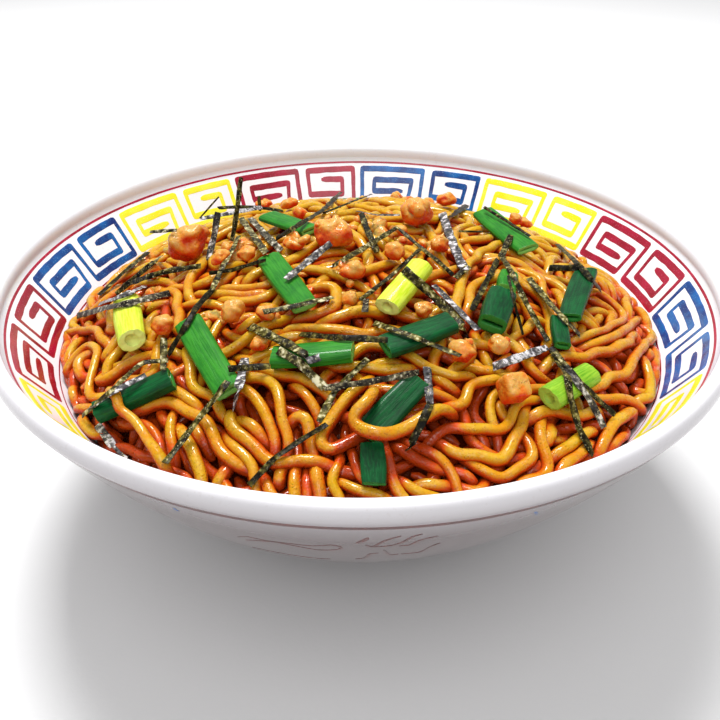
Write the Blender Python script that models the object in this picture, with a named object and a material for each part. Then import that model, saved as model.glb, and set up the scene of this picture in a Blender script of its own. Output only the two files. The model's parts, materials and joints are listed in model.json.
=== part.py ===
"""Mazesoba: thick noodles in a tare sauce, heaped in a footed bowl and topped with
cut green onion and chunks of seasoned minced meat. Metres, +Z up. The origin is the
middle of the foot ring's underside, and -Y is the side that faces the diner."""

import math
import random

import bmesh
import bpy
from mathutils import Matrix, Vector, noise
from mathutils.bvhtree import BVHTree

# Bowl.
RIM_RADIUS = 0.1100
BOWL_HEIGHT = 0.0851
BEAD_HALF_WIDTH = 0.0023
BEAD_HALF_HEIGHT = 0.0037
BEAD_START = 205
BEAD_SWEEP = 225
LIP_SHOULDER = (0.1029, 0.0768)
INNER_PULLS = ((0.0834, 0.0474), (0.0647, 0.0161))
INNER_FLOOR_EDGE = (0.0209, 0.0140)
FLOOR_HEIGHT = 0.0135
OUTER_TOP = (0.1092, 0.0790)
OUTER_PULLS = ((0.0824, 0.0297), (0.0492, 0.0086))
OUTER_BOTTOM = (0.0450, 0.0074)
FOOT_OUTER_RADIUS = 0.0425
FOOT_INNER_RADIUS = 0.0385
FOOT_RECESS_HEIGHT = 0.0065
FOOT_ROUNDING = 0.0006
FOOT_FILLET = 0.0014
BOWL_STEPS = 60
BOWL_MERGE = 0.00005

# Heap of noodles.
HEAP_TOP = 0.0902
HEAP_EDGE = 0.0625
HEAP_EDGE_SWING = 0.0012
HEAP_FULLNESS = 0.85
LUMP_SIZE = 0.014
LUMP_HEIGHT = 0.0022
HEAP_RINGS = 13
HEAP_STEPS = 52
HEAP_WALL_RINGS = 7
HEAP_TOP_SHARE = 0.985
RING_SPREAD = 0.85
WALL_RING_SPREAD = 0.9
SLOPE_STEP = 0.004

# Pieces that touch keep this much room.
TOUCH_GAP = 0.0003
REST_GAP = 0.0005

# Green onion, cut across: name, (x, y) mm, heading degrees, length mm, width mm,
# thickness mm, bend mm, roll degrees, colour.
GREEN_ONIONS = (
    ("onion_pale_left", (-65, -30), -73, 21, 7.8, 6.6, 0.4, 0, "pale"),
    ("onion_long_left", (-39, -50), -63, 30, 6.8, 3.6, -1.0, 10, "green"),
    ("onion_long_middle", (-21, -25), -67, 28, 6.8, 3.4, 0.8, -5, "green"),
    ("onion_flat_back", (-23, 13), -50, 23, 6.4, 2.4, 0.6, 0, "green"),
    ("onion_front_bar", (-12, -54), -3, 20, 6.6, 4.2, 0.3, 0, "green"),
    ("onion_pale_middle", (12, -31), -122, 18, 6.8, 5.6, 0.4, 0, "pale"),
    ("onion_dark_middle", (15, -47), -150, 20, 7.4, 3.6, 0.8, 12, "dark"),
    ("onion_strip_back", (47, 18), -70, 30, 6.8, 2.6, 0.8, -12, "green"),
    ("onion_tip_right", (42, -21), -106, 9, 5.6, 4.4, 0.0, 0, "green"),
    ("onion_stub_right", (37, -35), -108, 13, 7.4, 6.0, 0.5, 0, "dark"),
    ("onion_long_right", (65, -15), -112, 30, 6.2, 2.8, -0.8, 25, "dark"),
    ("onion_chip_right", (55, -36), -93, 11, 4.8, 2.8, 0.0, 0, "dark"),
    ("onion_leaf_front", (8, -69), -128, 19, 6.8, 2.6, 0.5, 0, "dark"),
    ("onion_chip_front", (3, -82), -90, 9, 5.6, 2.2, 0.0, 0, "dark"),
    ("onion_left_edge", (-58, -57), -163, 21, 5.8, 4.4, 0.6, 0, "dark"),
    ("onion_pale_right", (54, -56), 41, 17, 6.6, 5.0, 0.4, 0, "pale"),
    ("onion_far_left", (-8, 84), 176, 20, 6.4, 2.4, 0.6, 0, "green"),
    ("onion_far_right", (45, 72), -33, 18, 6.2, 2.2, -0.6, 0, "dark"),
)

# Minced meat: name, (x, y) mm, heading degrees, length mm, width mm, thickness mm.
MEAT_CHUNKS = (
    ("meat_back_left", (-53, 4), 20, 15.0, 12.0, 11.5),
    ("meat_crumb_left", (-42, -6), 60, 8.5, 6.0, 5.0),
    ("meat_back_middle", (-8, -2), -15, 14.0, 11.0, 9.5),
    ("meat_back_right", (18, 17), 35, 12.3, 11.0, 10.5),
    ("meat_middle_right", (24, -4), 70, 8.5, 6.5, 6.5),
    ("meat_middle", (-2, -23), 25, 9.5, 7.5, 6.5),
    ("meat_knot_middle", (10, -12), -40, 8.5, 7.5, 7.0),
    ("meat_crumb_middle", (-25, -38), 10, 7.5, 5.5, 4.5),
    ("meat_left", (-54, -36), -20, 8.5, 7.0, 6.5),
    ("meat_lump_left", (-34, -38), 35, 9.0, 7.5, 6.5),
    ("meat_crumb_front", (-26, -47), 40, 7.0, 5.5, 4.5),
    ("meat_flat_back", (-20, -3), -30, 9.0, 7.0, 5.0),
    ("meat_lump_right", (26, -52), -25, 8.5, 8.0, 7.0),
    ("meat_flake_right", (36, -48), -35, 8.5, 6.5, 6.0),
    ("meat_cube_right", (38, -62), 5, 10.0, 9.5, 8.5),
    ("meat_crumb_right", (17, -38), 50, 7.0, 5.5, 5.0),
    ("meat_crumb_back", (55, 39), 0, 6.5, 6.0, 5.5),
    ("meat_crumb_far_left", (-64, -3), 80, 7.0, 6.0, 5.5),
    ("meat_knot_left", (-34, -6), -60, 8.0, 6.5, 5.5),
    ("meat_knot_back", (31, 47), 15, 9.0, 7.5, 6.0),
    ("meat_pale_back", (-24, 34), -25, 9.0, 7.0, 4.5),
    ("meat_far_left", (-38, 77), 40, 9.5, 8.0, 5.0),
    ("meat_far_middle", (15, 85), 75, 8.0, 6.5, 4.5),
    ("meat_far_right", (63, 60), 10, 8.5, 6.5, 4.5),
)
MEAT_ROUGHNESS = 0.17
MEAT_KNOB_SIZE = 1.6
MEAT_UNDERSIDE = 0.85
FINE_MEAT_LENGTH = 12

# Cut ends of the onion pieces.
ONION_SIDES = 10
ONION_WALL = 0.0011
ONION_HOLLOW = 0.0025
ONION_SLANT = 0.18

FINISHES = {
    "glaze": ((0.93, 0.93, 0.94, 1), 0.12),
    "noodle": ((0.72, 0.34, 0.06, 1), 0.30),
    "green": ((0.10, 0.42, 0.07, 1), 0.28),
    "dark": ((0.01, 0.17, 0.05, 1), 0.25),
    "pale": ((0.62, 0.68, 0.10, 1), 0.28),
    "meat": ((0.78, 0.33, 0.07, 1), 0.38),
}


def clear_scene():
    for old in list(bpy.data.objects):
        bpy.data.objects.remove(old)


def finish(name):
    """The named Principled material, made once."""
    made = bpy.data.materials.get(name)
    if made:
        return made
    colour, roughness = FINISHES[name]
    made = bpy.data.materials.new(name)
    made.use_nodes = True
    shader = made.node_tree.nodes["Principled BSDF"]
    shader.inputs["Base Color"].default_value = colour
    shader.inputs["Roughness"].default_value = roughness
    shader.inputs["Metallic"].default_value = 0.0
    return made


def add_piece(name, shape, material, parent, matrix=None):
    """One named object from a bmesh, smooth shaded."""
    mesh = bpy.data.meshes.new(name)
    bmesh.ops.recalc_face_normals(shape, faces=shape.faces)
    shape.to_mesh(mesh)
    shape.free()
    mesh.shade_smooth()
    mesh.materials.append(finish(material))
    piece = bpy.data.objects.new(name, mesh)
    bpy.context.scene.collection.objects.link(piece)
    piece.parent = parent
    if matrix:
        piece.matrix_world = matrix
    return piece


def bezier(start, pulls, end, count):
    """Points along a cubic curve, both ends included."""
    points = []
    for index in range(count):
        t = index / (count - 1)
        weights = ((1 - t) ** 3, 3 * t * (1 - t) ** 2, 3 * t * t * (1 - t), t ** 3)
        corners = (start, *pulls, end)
        points.append(tuple(sum(w * c[axis] for w, c in zip(weights, corners)) for axis in (0, 1)))
    return points


def inner_wall(count):
    """The bowl's inner side from the floor's edge up to the shoulder of the lip."""
    return bezier(LIP_SHOULDER, INNER_PULLS, INNER_FLOOR_EDGE, count)[::-1]


def bead(count):
    """The rounded lip, from its inner foot over the top to its outer foot."""
    middle = (RIM_RADIUS - BEAD_HALF_WIDTH, BOWL_HEIGHT - BEAD_HALF_HEIGHT)
    points = []
    for index in range(count):
        angle = math.radians(BEAD_START - BEAD_SWEEP * index / (count - 1))
        points.append((
            middle[0] + BEAD_HALF_WIDTH * math.cos(angle),
            middle[1] + BEAD_HALF_HEIGHT * math.sin(angle),
        ))
    return points


def bowl_profile():
    """Half section from the floor's middle, over the lip and down the outer side."""
    foot = [
        (FOOT_OUTER_RADIUS + FOOT_ROUNDING, OUTER_BOTTOM[1] - FOOT_FILLET),
        (FOOT_OUTER_RADIUS, FOOT_ROUNDING),
        (FOOT_OUTER_RADIUS - FOOT_ROUNDING, 0.0),
        (FOOT_INNER_RADIUS + FOOT_ROUNDING, 0.0),
        (FOOT_INNER_RADIUS, FOOT_ROUNDING),
        (FOOT_INNER_RADIUS - 2 * FOOT_ROUNDING, FOOT_RECESS_HEIGHT - FOOT_ROUNDING),
        (0.0, FOOT_RECESS_HEIGHT),
    ]
    outer = bezier(OUTER_TOP, OUTER_PULLS, OUTER_BOTTOM, 9)
    return [(0.0, FLOOR_HEIGHT), *inner_wall(9), *bead(7), *outer, *foot]


def make_bowl(parent):
    """The bowl turned from its half section with a Screw modifier."""
    mesh = bpy.data.meshes.new("bowl")
    points = [(radius, 0.0, height) for radius, height in bowl_profile()]
    mesh.from_pydata(points, [(i, i + 1) for i in range(len(points) - 1)], [])
    mesh.materials.append(finish("glaze"))
    bowl = bpy.data.objects.new("bowl", mesh)
    bpy.context.scene.collection.objects.link(bowl)
    bowl.parent = parent
    turn = bowl.modifiers.new("turn", "SCREW")
    turn.axis = "Z"
    turn.steps = BOWL_STEPS
    turn.render_steps = BOWL_STEPS
    turn.use_merge_vertices = True
    turn.merge_threshold = BOWL_MERGE
    return bowl


def wall_radius(height):
    """Inner radius of the bowl at this height."""
    wall = inner_wall(60)
    for (low_radius, low), (high_radius, high) in zip(wall, wall[1:]):
        if low <= height <= high:
            share = (height - low) / (high - low)
            return low_radius + share * (high_radius - low_radius)
    return wall[0][0]


HEAP_RADIUS = wall_radius(HEAP_EDGE)


def heap_height(x, y):
    """Height of the heap's outline, a full mound with soft lumps."""
    share = min(1.0, math.hypot(x, y) / HEAP_RADIUS)
    mound = HEAP_EDGE + (HEAP_TOP - HEAP_EDGE) * (1 - share * share) ** HEAP_FULLNESS
    lump = noise.noise(Vector((x, y, 0.0)) / LUMP_SIZE)
    knob = noise.noise(2 * Vector((y, x, 0.3)) / LUMP_SIZE)
    return mound + LUMP_HEIGHT * (lump + 0.5 * knob) * (1 - share ** 6)


def heap_rings():
    """Rings of points: the heap's top from the middle out, then down along the wall."""
    turns = [2 * math.pi * step / HEAP_STEPS for step in range(HEAP_STEPS)]
    rings = []
    for ring in range(1, HEAP_RINGS):
        share = math.sin(0.5 * math.pi * ring / HEAP_RINGS) ** RING_SPREAD
        radius = HEAP_RADIUS * HEAP_TOP_SHARE * share
        flat = [(radius * math.cos(turn), radius * math.sin(turn)) for turn in turns]
        rings.append([(x, y, heap_height(x, y)) for x, y in flat])
    low = INNER_FLOOR_EDGE[1] + TOUCH_GAP
    for ring in range(HEAP_WALL_RINGS):
        share = (ring / (HEAP_WALL_RINGS - 1)) ** WALL_RING_SPREAD
        points = []
        for turn in turns:
            edge = HEAP_EDGE + HEAP_EDGE_SWING * math.sin(3 * turn + 1) * math.cos(7 * turn)
            height = edge + share * (low - edge)
            radius = wall_radius(height) - 2 * TOUCH_GAP
            points.append((radius * math.cos(turn), radius * math.sin(turn), height + TOUCH_GAP))
        rings.append(points)
    return rings


def make_heap(parent):
    """All the noodles as one solid out to their uneven outline."""
    shape = bmesh.new()
    rings = [[shape.verts.new(point) for point in ring] for ring in heap_rings()]
    top = shape.verts.new((0.0, 0.0, heap_height(0.0, 0.0)))
    bottom = shape.verts.new((0.0, 0.0, INNER_FLOOR_EDGE[1] + 2 * TOUCH_GAP))
    for step in range(HEAP_STEPS):
        after = (step + 1) % HEAP_STEPS
        shape.faces.new((top, rings[0][step], rings[0][after]))
        shape.faces.new((bottom, rings[-1][after], rings[-1][step]))
        for inner, outer in zip(rings, rings[1:]):
            shape.faces.new((inner[step], outer[step], outer[after], inner[after]))
    bmesh.ops.triangulate(shape, faces=shape.faces)
    return add_piece("noodle_heap", shape, "noodle", parent)


def seat(x, y, heading, roll):
    """Axes for a piece that lies on the heap at (x, y): along, across, up."""
    step = SLOPE_STEP
    slope_x = (heap_height(x + step, y) - heap_height(x - step, y)) / (2 * step)
    slope_y = (heap_height(x, y + step) - heap_height(x, y - step)) / (2 * step)
    up = Vector((-slope_x, -slope_y, 1.0)).normalized()
    along = Vector((math.cos(heading), math.sin(heading), 0.0))
    along = (along - up * along.dot(up)).normalized()
    turned = Matrix.Rotation(roll, 3, along)
    across = turned @ up.cross(along)
    up = turned @ up
    place = Matrix((along, across, up)).transposed().to_4x4()
    place.translation = (x, y, 0.0)
    return place


def world_faces(piece):
    """The piece's points in the world, and its faces."""
    points = [piece.matrix_world @ vertex.co for vertex in piece.data.vertices]
    return points, [tuple(face.vertices) for face in piece.data.polygons]


def rest_on(piece, supports):
    """Lowers or lifts the piece until it is REST_GAP clear of all that lies under it."""
    bpy.context.view_layer.update()
    points, faces = world_faces(piece)
    tree = BVHTree.FromPolygons(points, faces)
    far = 1.0
    lift = -far
    for support_tree, support_points in supports:
        for point in points:
            hit = support_tree.ray_cast(Vector((point.x, point.y, far)), Vector((0, 0, -1)))[0]
            if hit:
                lift = max(lift, hit.z + REST_GAP - point.z)
        for point in support_points:
            hit = tree.ray_cast(Vector((point.x, point.y, -far)), Vector((0, 0, 1)))[0]
            if hit:
                lift = max(lift, point.z + REST_GAP - hit.z)
    piece.matrix_world = Matrix.Translation((0, 0, lift)) @ piece.matrix_world
    bpy.context.view_layer.update()
    points, faces = world_faces(piece)
    supports.append((BVHTree.FromPolygons(points, faces), points))


def onion_shape(length, width, thickness, bend):
    """A length of onion leaf: a pressed tube, a little bowed, hollow at its cut ends."""
    stations = (-0.5, -0.17, 0.17, 0.5)
    shape = bmesh.new()

    def ring(share, inset, shift):
        """One ring across the leaf, on a slant at the ends."""
        points = []
        for index in range(ONION_SIDES):
            angle = 2 * math.pi * index / ONION_SIDES
            across = (0.5 * width - inset) * math.cos(angle)
            up = (0.5 * thickness - inset) * math.sin(angle)
            along = length * share + shift + ONION_SLANT * across * abs(2 * share)
            arch = bend * (1 - (2 * share) ** 2)
            points.append(shape.verts.new((along, across + arch, up)))
        return points

    rings = [ring(share, 0.0, 0.0) for share in stations]
    inset = min(ONION_WALL, 0.3 * thickness)
    left = [ring(-0.5, inset, 0.0), ring(-0.5, inset, ONION_HOLLOW)]
    right = [ring(0.5, inset, -ONION_HOLLOW), ring(0.5, inset, 0.0)]
    order = [left[1], left[0], *rings, right[1], right[0]]
    for first, second in zip(order, order[1:]):
        for index in range(ONION_SIDES):
            after = (index + 1) % ONION_SIDES
            shape.faces.new((first[index], second[index], second[after], first[after]))
    shape.faces.new(order[0])
    shape.faces.new(order[-1][::-1])
    return shape


def make_onion(row, parent, supports):
    name, (x, y), heading, length, width, thickness, bend, roll, colour = row
    shape = onion_shape(length / 1000, width / 1000, thickness / 1000, bend / 1000)
    place = seat(x / 1000, y / 1000, math.radians(heading), math.radians(roll))
    rest_on(add_piece(name, shape, colour, parent, place), supports)


def make_meat(row, parent, supports, seed):
    """A rough lump: a ball pulled in and out by seeded noise, flatter underneath."""
    name, (x, y), heading, length, width, thickness = row
    shape = bmesh.new()
    fineness = 2 if length > FINE_MEAT_LENGTH else 1
    bmesh.ops.create_icosphere(shape, subdivisions=fineness, radius=1.0)
    drift = Vector([random.Random(seed).uniform(-50, 50) for _ in range(3)])
    for vertex in shape.verts:
        knob = 1 + MEAT_ROUGHNESS * noise.noise(vertex.co * MEAT_KNOB_SIZE + drift)
        under = MEAT_UNDERSIDE if vertex.co.z < 0 else 1.0
        vertex.co.x *= knob * length / 2000
        vertex.co.y *= knob * width / 2000
        vertex.co.z *= knob * thickness / 2000 * under
    place = seat(x / 1000, y / 1000, math.radians(heading), 0.0)
    rest_on(add_piece(name, shape, "meat", parent, place), supports)


def main():
    clear_scene()
    serving = bpy.data.objects.new("serving", None)
    bpy.context.scene.collection.objects.link(serving)
    make_bowl(serving)
    heap = make_heap(serving)
    bpy.context.view_layer.update()
    points, faces = world_faces(heap)
    supports = [(BVHTree.FromPolygons(points, faces), points)]
    for row in GREEN_ONIONS:
        make_onion(row, serving, supports)
    for seed, row in enumerate(MEAT_CHUNKS):
        make_meat(row, serving, supports, seed)


main()
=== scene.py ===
"""Mazesoba: thick sauced noodles heaped in a painted porcelain bowl, topped with green
onion, minced meat and shreds of dried seaweed. Metres, +Z up, -Y towards the diner."""

import itertools
import json
import math
import random

import bmesh
import bpy
import numpy as np
from bpy.props import FloatProperty, FloatVectorProperty, IntProperty, PointerProperty
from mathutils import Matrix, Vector, noise
from mathutils.bvhtree import BVHTree

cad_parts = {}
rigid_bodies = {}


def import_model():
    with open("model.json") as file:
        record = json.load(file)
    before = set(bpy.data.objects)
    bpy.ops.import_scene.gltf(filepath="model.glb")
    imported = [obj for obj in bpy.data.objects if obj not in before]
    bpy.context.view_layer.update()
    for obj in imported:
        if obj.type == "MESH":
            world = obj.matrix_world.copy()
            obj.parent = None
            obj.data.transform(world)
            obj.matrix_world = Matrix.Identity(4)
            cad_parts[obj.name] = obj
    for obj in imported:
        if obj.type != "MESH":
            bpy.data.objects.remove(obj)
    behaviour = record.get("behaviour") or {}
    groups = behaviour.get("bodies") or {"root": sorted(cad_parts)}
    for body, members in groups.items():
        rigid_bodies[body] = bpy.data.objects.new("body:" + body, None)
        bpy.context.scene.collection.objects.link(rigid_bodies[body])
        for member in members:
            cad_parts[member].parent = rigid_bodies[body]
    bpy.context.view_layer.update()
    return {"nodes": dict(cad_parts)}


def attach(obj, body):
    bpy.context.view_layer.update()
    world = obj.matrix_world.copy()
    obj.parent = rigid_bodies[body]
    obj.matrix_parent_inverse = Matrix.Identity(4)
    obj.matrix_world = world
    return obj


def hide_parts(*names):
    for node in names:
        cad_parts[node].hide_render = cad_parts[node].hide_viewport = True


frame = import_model()
NODES = frame["nodes"]

bl_info = {
    "name": "Mazesoba bowl",
    "version": (1, 0, 0),
    "blender": (4, 5, 0),
    "location": "3D View > Sidebar > Mazesoba",
    "description": "A bowl of sauced noodles with its toppings, on a pale table",
    "category": "Add Mesh",
}

MM = 0.001
TURN = 2 * math.pi

# The bowl's half section, as in the CAD part: (radius, height) in mm.
BEAD_MIDDLE = (107.7, 81.4)
BEAD_HALF = (2.3, 3.7)
INNER_WALL = ((102.9, 76.8), (83.4, 47.4), (64.7, 16.1), (20.9, 14.0))
OUTER_WALL = ((109.2, 79.0), (82.4, 29.7), (49.2, 8.6), (45.0, 7.4))
FLOOR = ((0.0, 13.5), (10.0, 13.55))
FOOT = (
    (43.1, 6.0), (42.6, 3.4), (42.5, 0.6), (42.3, 0.15), (41.9, 0.0), (39.1, 0.0), (38.7, 0.15),
    (38.5, 0.6), (38.2, 3.6), (37.3, 5.7), (36.0, 6.2), (20.0, 6.45), (0.0, 6.5),
)

# The key border: where its strokes run, counted in widths of one spiral and in heights of
# the band, from the left end of a pair.
KEY_PATH = (
    (0.72, 0.35), (0.21, 0.33), (0.21, 0.67), (0.86, 0.68), (0.82, 0.03), (0.00, 0.00),
    (0.00, 1.00), (1.03, 1.00), (1.03, 0.01), (2.00, 0.00), (1.99, 1.00), (1.22, 0.98),
    (1.22, 0.27), (1.80, 0.25), (1.80, 0.69), (1.44, 0.70),
)
KEY_UNIT_DEGREES = 13.95
KEY_BAND = (2.8, 16.8)
KEY_FIRST_DEGREES = 89.45
KEY_BAR_HALF = 1.25
KEY_LEG_HALF = 0.82
KEY_MEAN_RADIUS = 98.0
STROKE_FOOT = -0.05

# Camera: fitted to the painted rings and the lip in the photograph.
CAMERA_PLACE = (0.0, -0.22241, 0.19357)
CAMERA_DIP = 33.407
CAMERA_FOCAL_PIXELS = 794.856
PHOTO_SIDE = 720
SENSOR = 36.0


# ---------------------------------------------------------------- settings


def colour(label, about, value):
    """A colour setting with its default."""
    return FloatVectorProperty(
        name=label, description=about, default=value, subtype="COLOR", size=3, min=0.0, max=1.0
    )


def length(label, about, value):
    """A length setting with its default, in metres."""
    return FloatProperty(
        name=label, description=about, default=value, unit="LENGTH", subtype="DISTANCE",
        precision=5,
    )


def power(label, about, value):
    """A light's power setting with its default, in watts."""
    return FloatProperty(name=label, description=about, default=value, unit="POWER")


class BowlSettings(bpy.types.PropertyGroup):
    """The porcelain bowl and its painted border."""

    steps: IntProperty(name="Steps", description="Facets round the bowl", default=240, min=24)
    glaze: colour("Glaze", "White of the glaze", (0.86, 0.85, 0.885))
    # outside is painted shade: the dark grey that the white glaze of the outer wall is drawn in.
    outside: colour("Outside", "Greyer glaze of the outer wall", (0.180, 0.145, 0.148))
    red: colour("Red", "Red enamel", (0.25, 0.0015, 0.014))
    blue: colour("Blue", "Blue enamel", (0.0006, 0.018, 0.15))
    yellow: colour("Yellow", "Yellow enamel", (0.80, 0.74, 0.004))
    brown: colour("Brown", "Brush strokes on the outside", (0.080, 0.012, 0.010))
    lift: length("Enamel height", "How far the enamel stands over the glaze", 0.00006)


class NoodleSettings(bpy.types.PropertyGroup):
    """The heap of noodles."""

    thickness: length("Thickness", "Width across one noodle", 0.0031)
    spacing: length("Spacing", "Distance between points along a noodle", 0.0013)
    seed: IntProperty(name="Seed", description="Changes how the noodles lie", default=7)
    rounds: IntProperty(name="Rounds", description="Steps of settling", default=130, min=1)
    # light is the noodle's amber and deep the sauce's red; the material also turns sides,
    # undersides and deep noodles towards deep as painted shade.
    light: colour("Light", "Upper side of a noodle", (0.50, 0.275, 0.004))
    deep: colour("Deep", "Sauce in the folds", (0.50, 0.052, 0.003))


class ToppingSettings(bpy.types.PropertyGroup):
    """Green onion, minced meat and dried seaweed."""

    green: colour("Green", "Mid green of a leaf", (0.007, 0.12, 0.008))
    dark: colour("Dark green", "Dark green of a leaf", (0.0003, 0.030, 0.008))
    pale: colour("Pale green", "Stem near the root", (0.42, 0.56, 0.004))
    meat: colour("Meat", "Seasoned minced meat", (0.60, 0.205, 0.017))
    shred_width: length("Shred width", "Width of a seaweed shred", 0.00178)


class StageSettings(bpy.types.PropertyGroup):
    """Table, light and camera."""

    floor: colour("Table", "Colour of the table top", (0.78, 0.78, 0.785))
    key: power("Key light", "Strength of the main light", 20.5)
    fill: power("Fill light", "Strength of the front light", 7.4)
    air: FloatProperty(name="Room light", description="Light from all round", default=0.52)


# ---------------------------------------------------------------- meshes


def linked(mesh):
    """A new object in the scene with this mesh, under the same name."""
    piece = bpy.data.objects.new(mesh.name, mesh)
    bpy.context.scene.collection.objects.link(piece)
    return piece


def add_values(mesh, **values):
    """Stores values or vectors on the points of the mesh."""
    for name, numbers in values.items():
        numbers = np.array(numbers, float)
        kind, key = ("FLOAT", "value") if numbers.ndim == 1 else ("FLOAT_VECTOR", "vector")
        mesh.attributes.new(name, kind, "POINT").data.foreach_set(key, numbers.ravel())


def mesh_from(name, points, faces, material=None, smooth=True, edges=(), **values):
    """A linked mesh object from points in metres, faces and values on the points."""
    mesh = bpy.data.meshes.new(name)
    mesh.from_pydata([tuple(p) for p in points], edges, [tuple(f) for f in faces])
    mesh.validate()
    mesh.polygons.foreach_set("use_smooth", [smooth] * len(mesh.polygons))
    if material:
        mesh.materials.append(material)
    add_values(mesh, **values)
    return linked(mesh)


def closed_piece(*given, **more):
    """The same, with its doubles merged and every face turned outwards."""
    piece = mesh_from(*given, **more)
    shape = bmesh.new()
    shape.from_mesh(piece.data)
    bmesh.ops.remove_doubles(shape, verts=shape.verts, dist=1e-7)
    bmesh.ops.recalc_face_normals(shape, faces=shape.faces)
    shape.to_mesh(piece.data)
    shape.free()
    return piece


def paths_piece(name, paths, **values):
    """Paths of points joined by bare edges, each path with its rows of values."""
    edges, base = [], 0
    for path in paths:
        edges += [(i, i + 1) for i in range(base, base + len(path) - 1)]
        base += len(path)
    joined = {key: np.concatenate(rows) for key, rows in values.items()}
    return mesh_from(name, np.vstack(paths), [], edges=edges, **joined)


def skin(rings, loop=False):
    """Points and faces through rings of equally many points, closed at the ends or a loop."""
    count = len(rings[0])
    points = [p for ring in rings for p in ring]
    faces = []
    for i in range(len(rings) if loop else len(rings) - 1):
        low, high = i * count, (i + 1) % len(rings) * count
        for j in range(count):
            k = (j + 1) % count
            faces.append((low + j, low + k, high + k, high + j))
    if not loop:
        faces += [tuple(range(count))[::-1], tuple(range(len(points) - count, len(points)))]
    return points, faces


def circle(radius, height, count):
    """A ring of points round the upright axis."""
    angles = [TURN * step / count for step in range(count)]
    return [(radius * math.cos(angle), radius * math.sin(angle), height) for angle in angles]


def keep(piece, *nodes, slot=None):
    """The piece rides on the body and stands for the CAD nodes."""
    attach(piece, "root")
    if nodes:
        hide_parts(*nodes)


def through_tree(piece, tree, **values):
    """Runs a Geometry Nodes tree with these named inputs and keeps the plain mesh."""
    modifier = piece.modifiers.new(tree.name, "NODES")
    modifier.node_group = tree
    for item in tree.interface.items_tree:
        label = item.name.replace(" ", "_")
        if item.in_out == "INPUT" and label in values:
            modifier[item.identifier] = values.pop(label)
    if values:
        raise ValueError(f"{tree.name} has no input named {sorted(values)}")
    graph = bpy.context.evaluated_depsgraph_get()
    made = bpy.data.meshes.new_from_object(piece.evaluated_get(graph))
    made.name = piece.name
    old = piece.data
    piece.modifiers.clear()
    piece.data = made
    bpy.data.meshes.remove(old)
    return piece


# ---------------------------------------------------------------- nodes


class Value:
    """One output of a node. Sums, differences and products of values are Math nodes."""

    def __init__(self, nodes, socket):
        self.nodes, self.socket = nodes, socket

    def __getitem__(self, output):
        """Another output of the same node."""
        return Value(self.nodes, self.socket.node.outputs[output])

    def __add__(self, other):
        return self.nodes.maths("ADD", self, other)

    def __sub__(self, other):
        return self.nodes.maths("SUBTRACT", self, other)

    def __mul__(self, other):
        return self.nodes.maths("MULTIPLY", self, other)

    def clamped(self):
        """The same result, kept between 0 and 1."""
        self.socket.node.use_clamp = True
        return self


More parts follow.
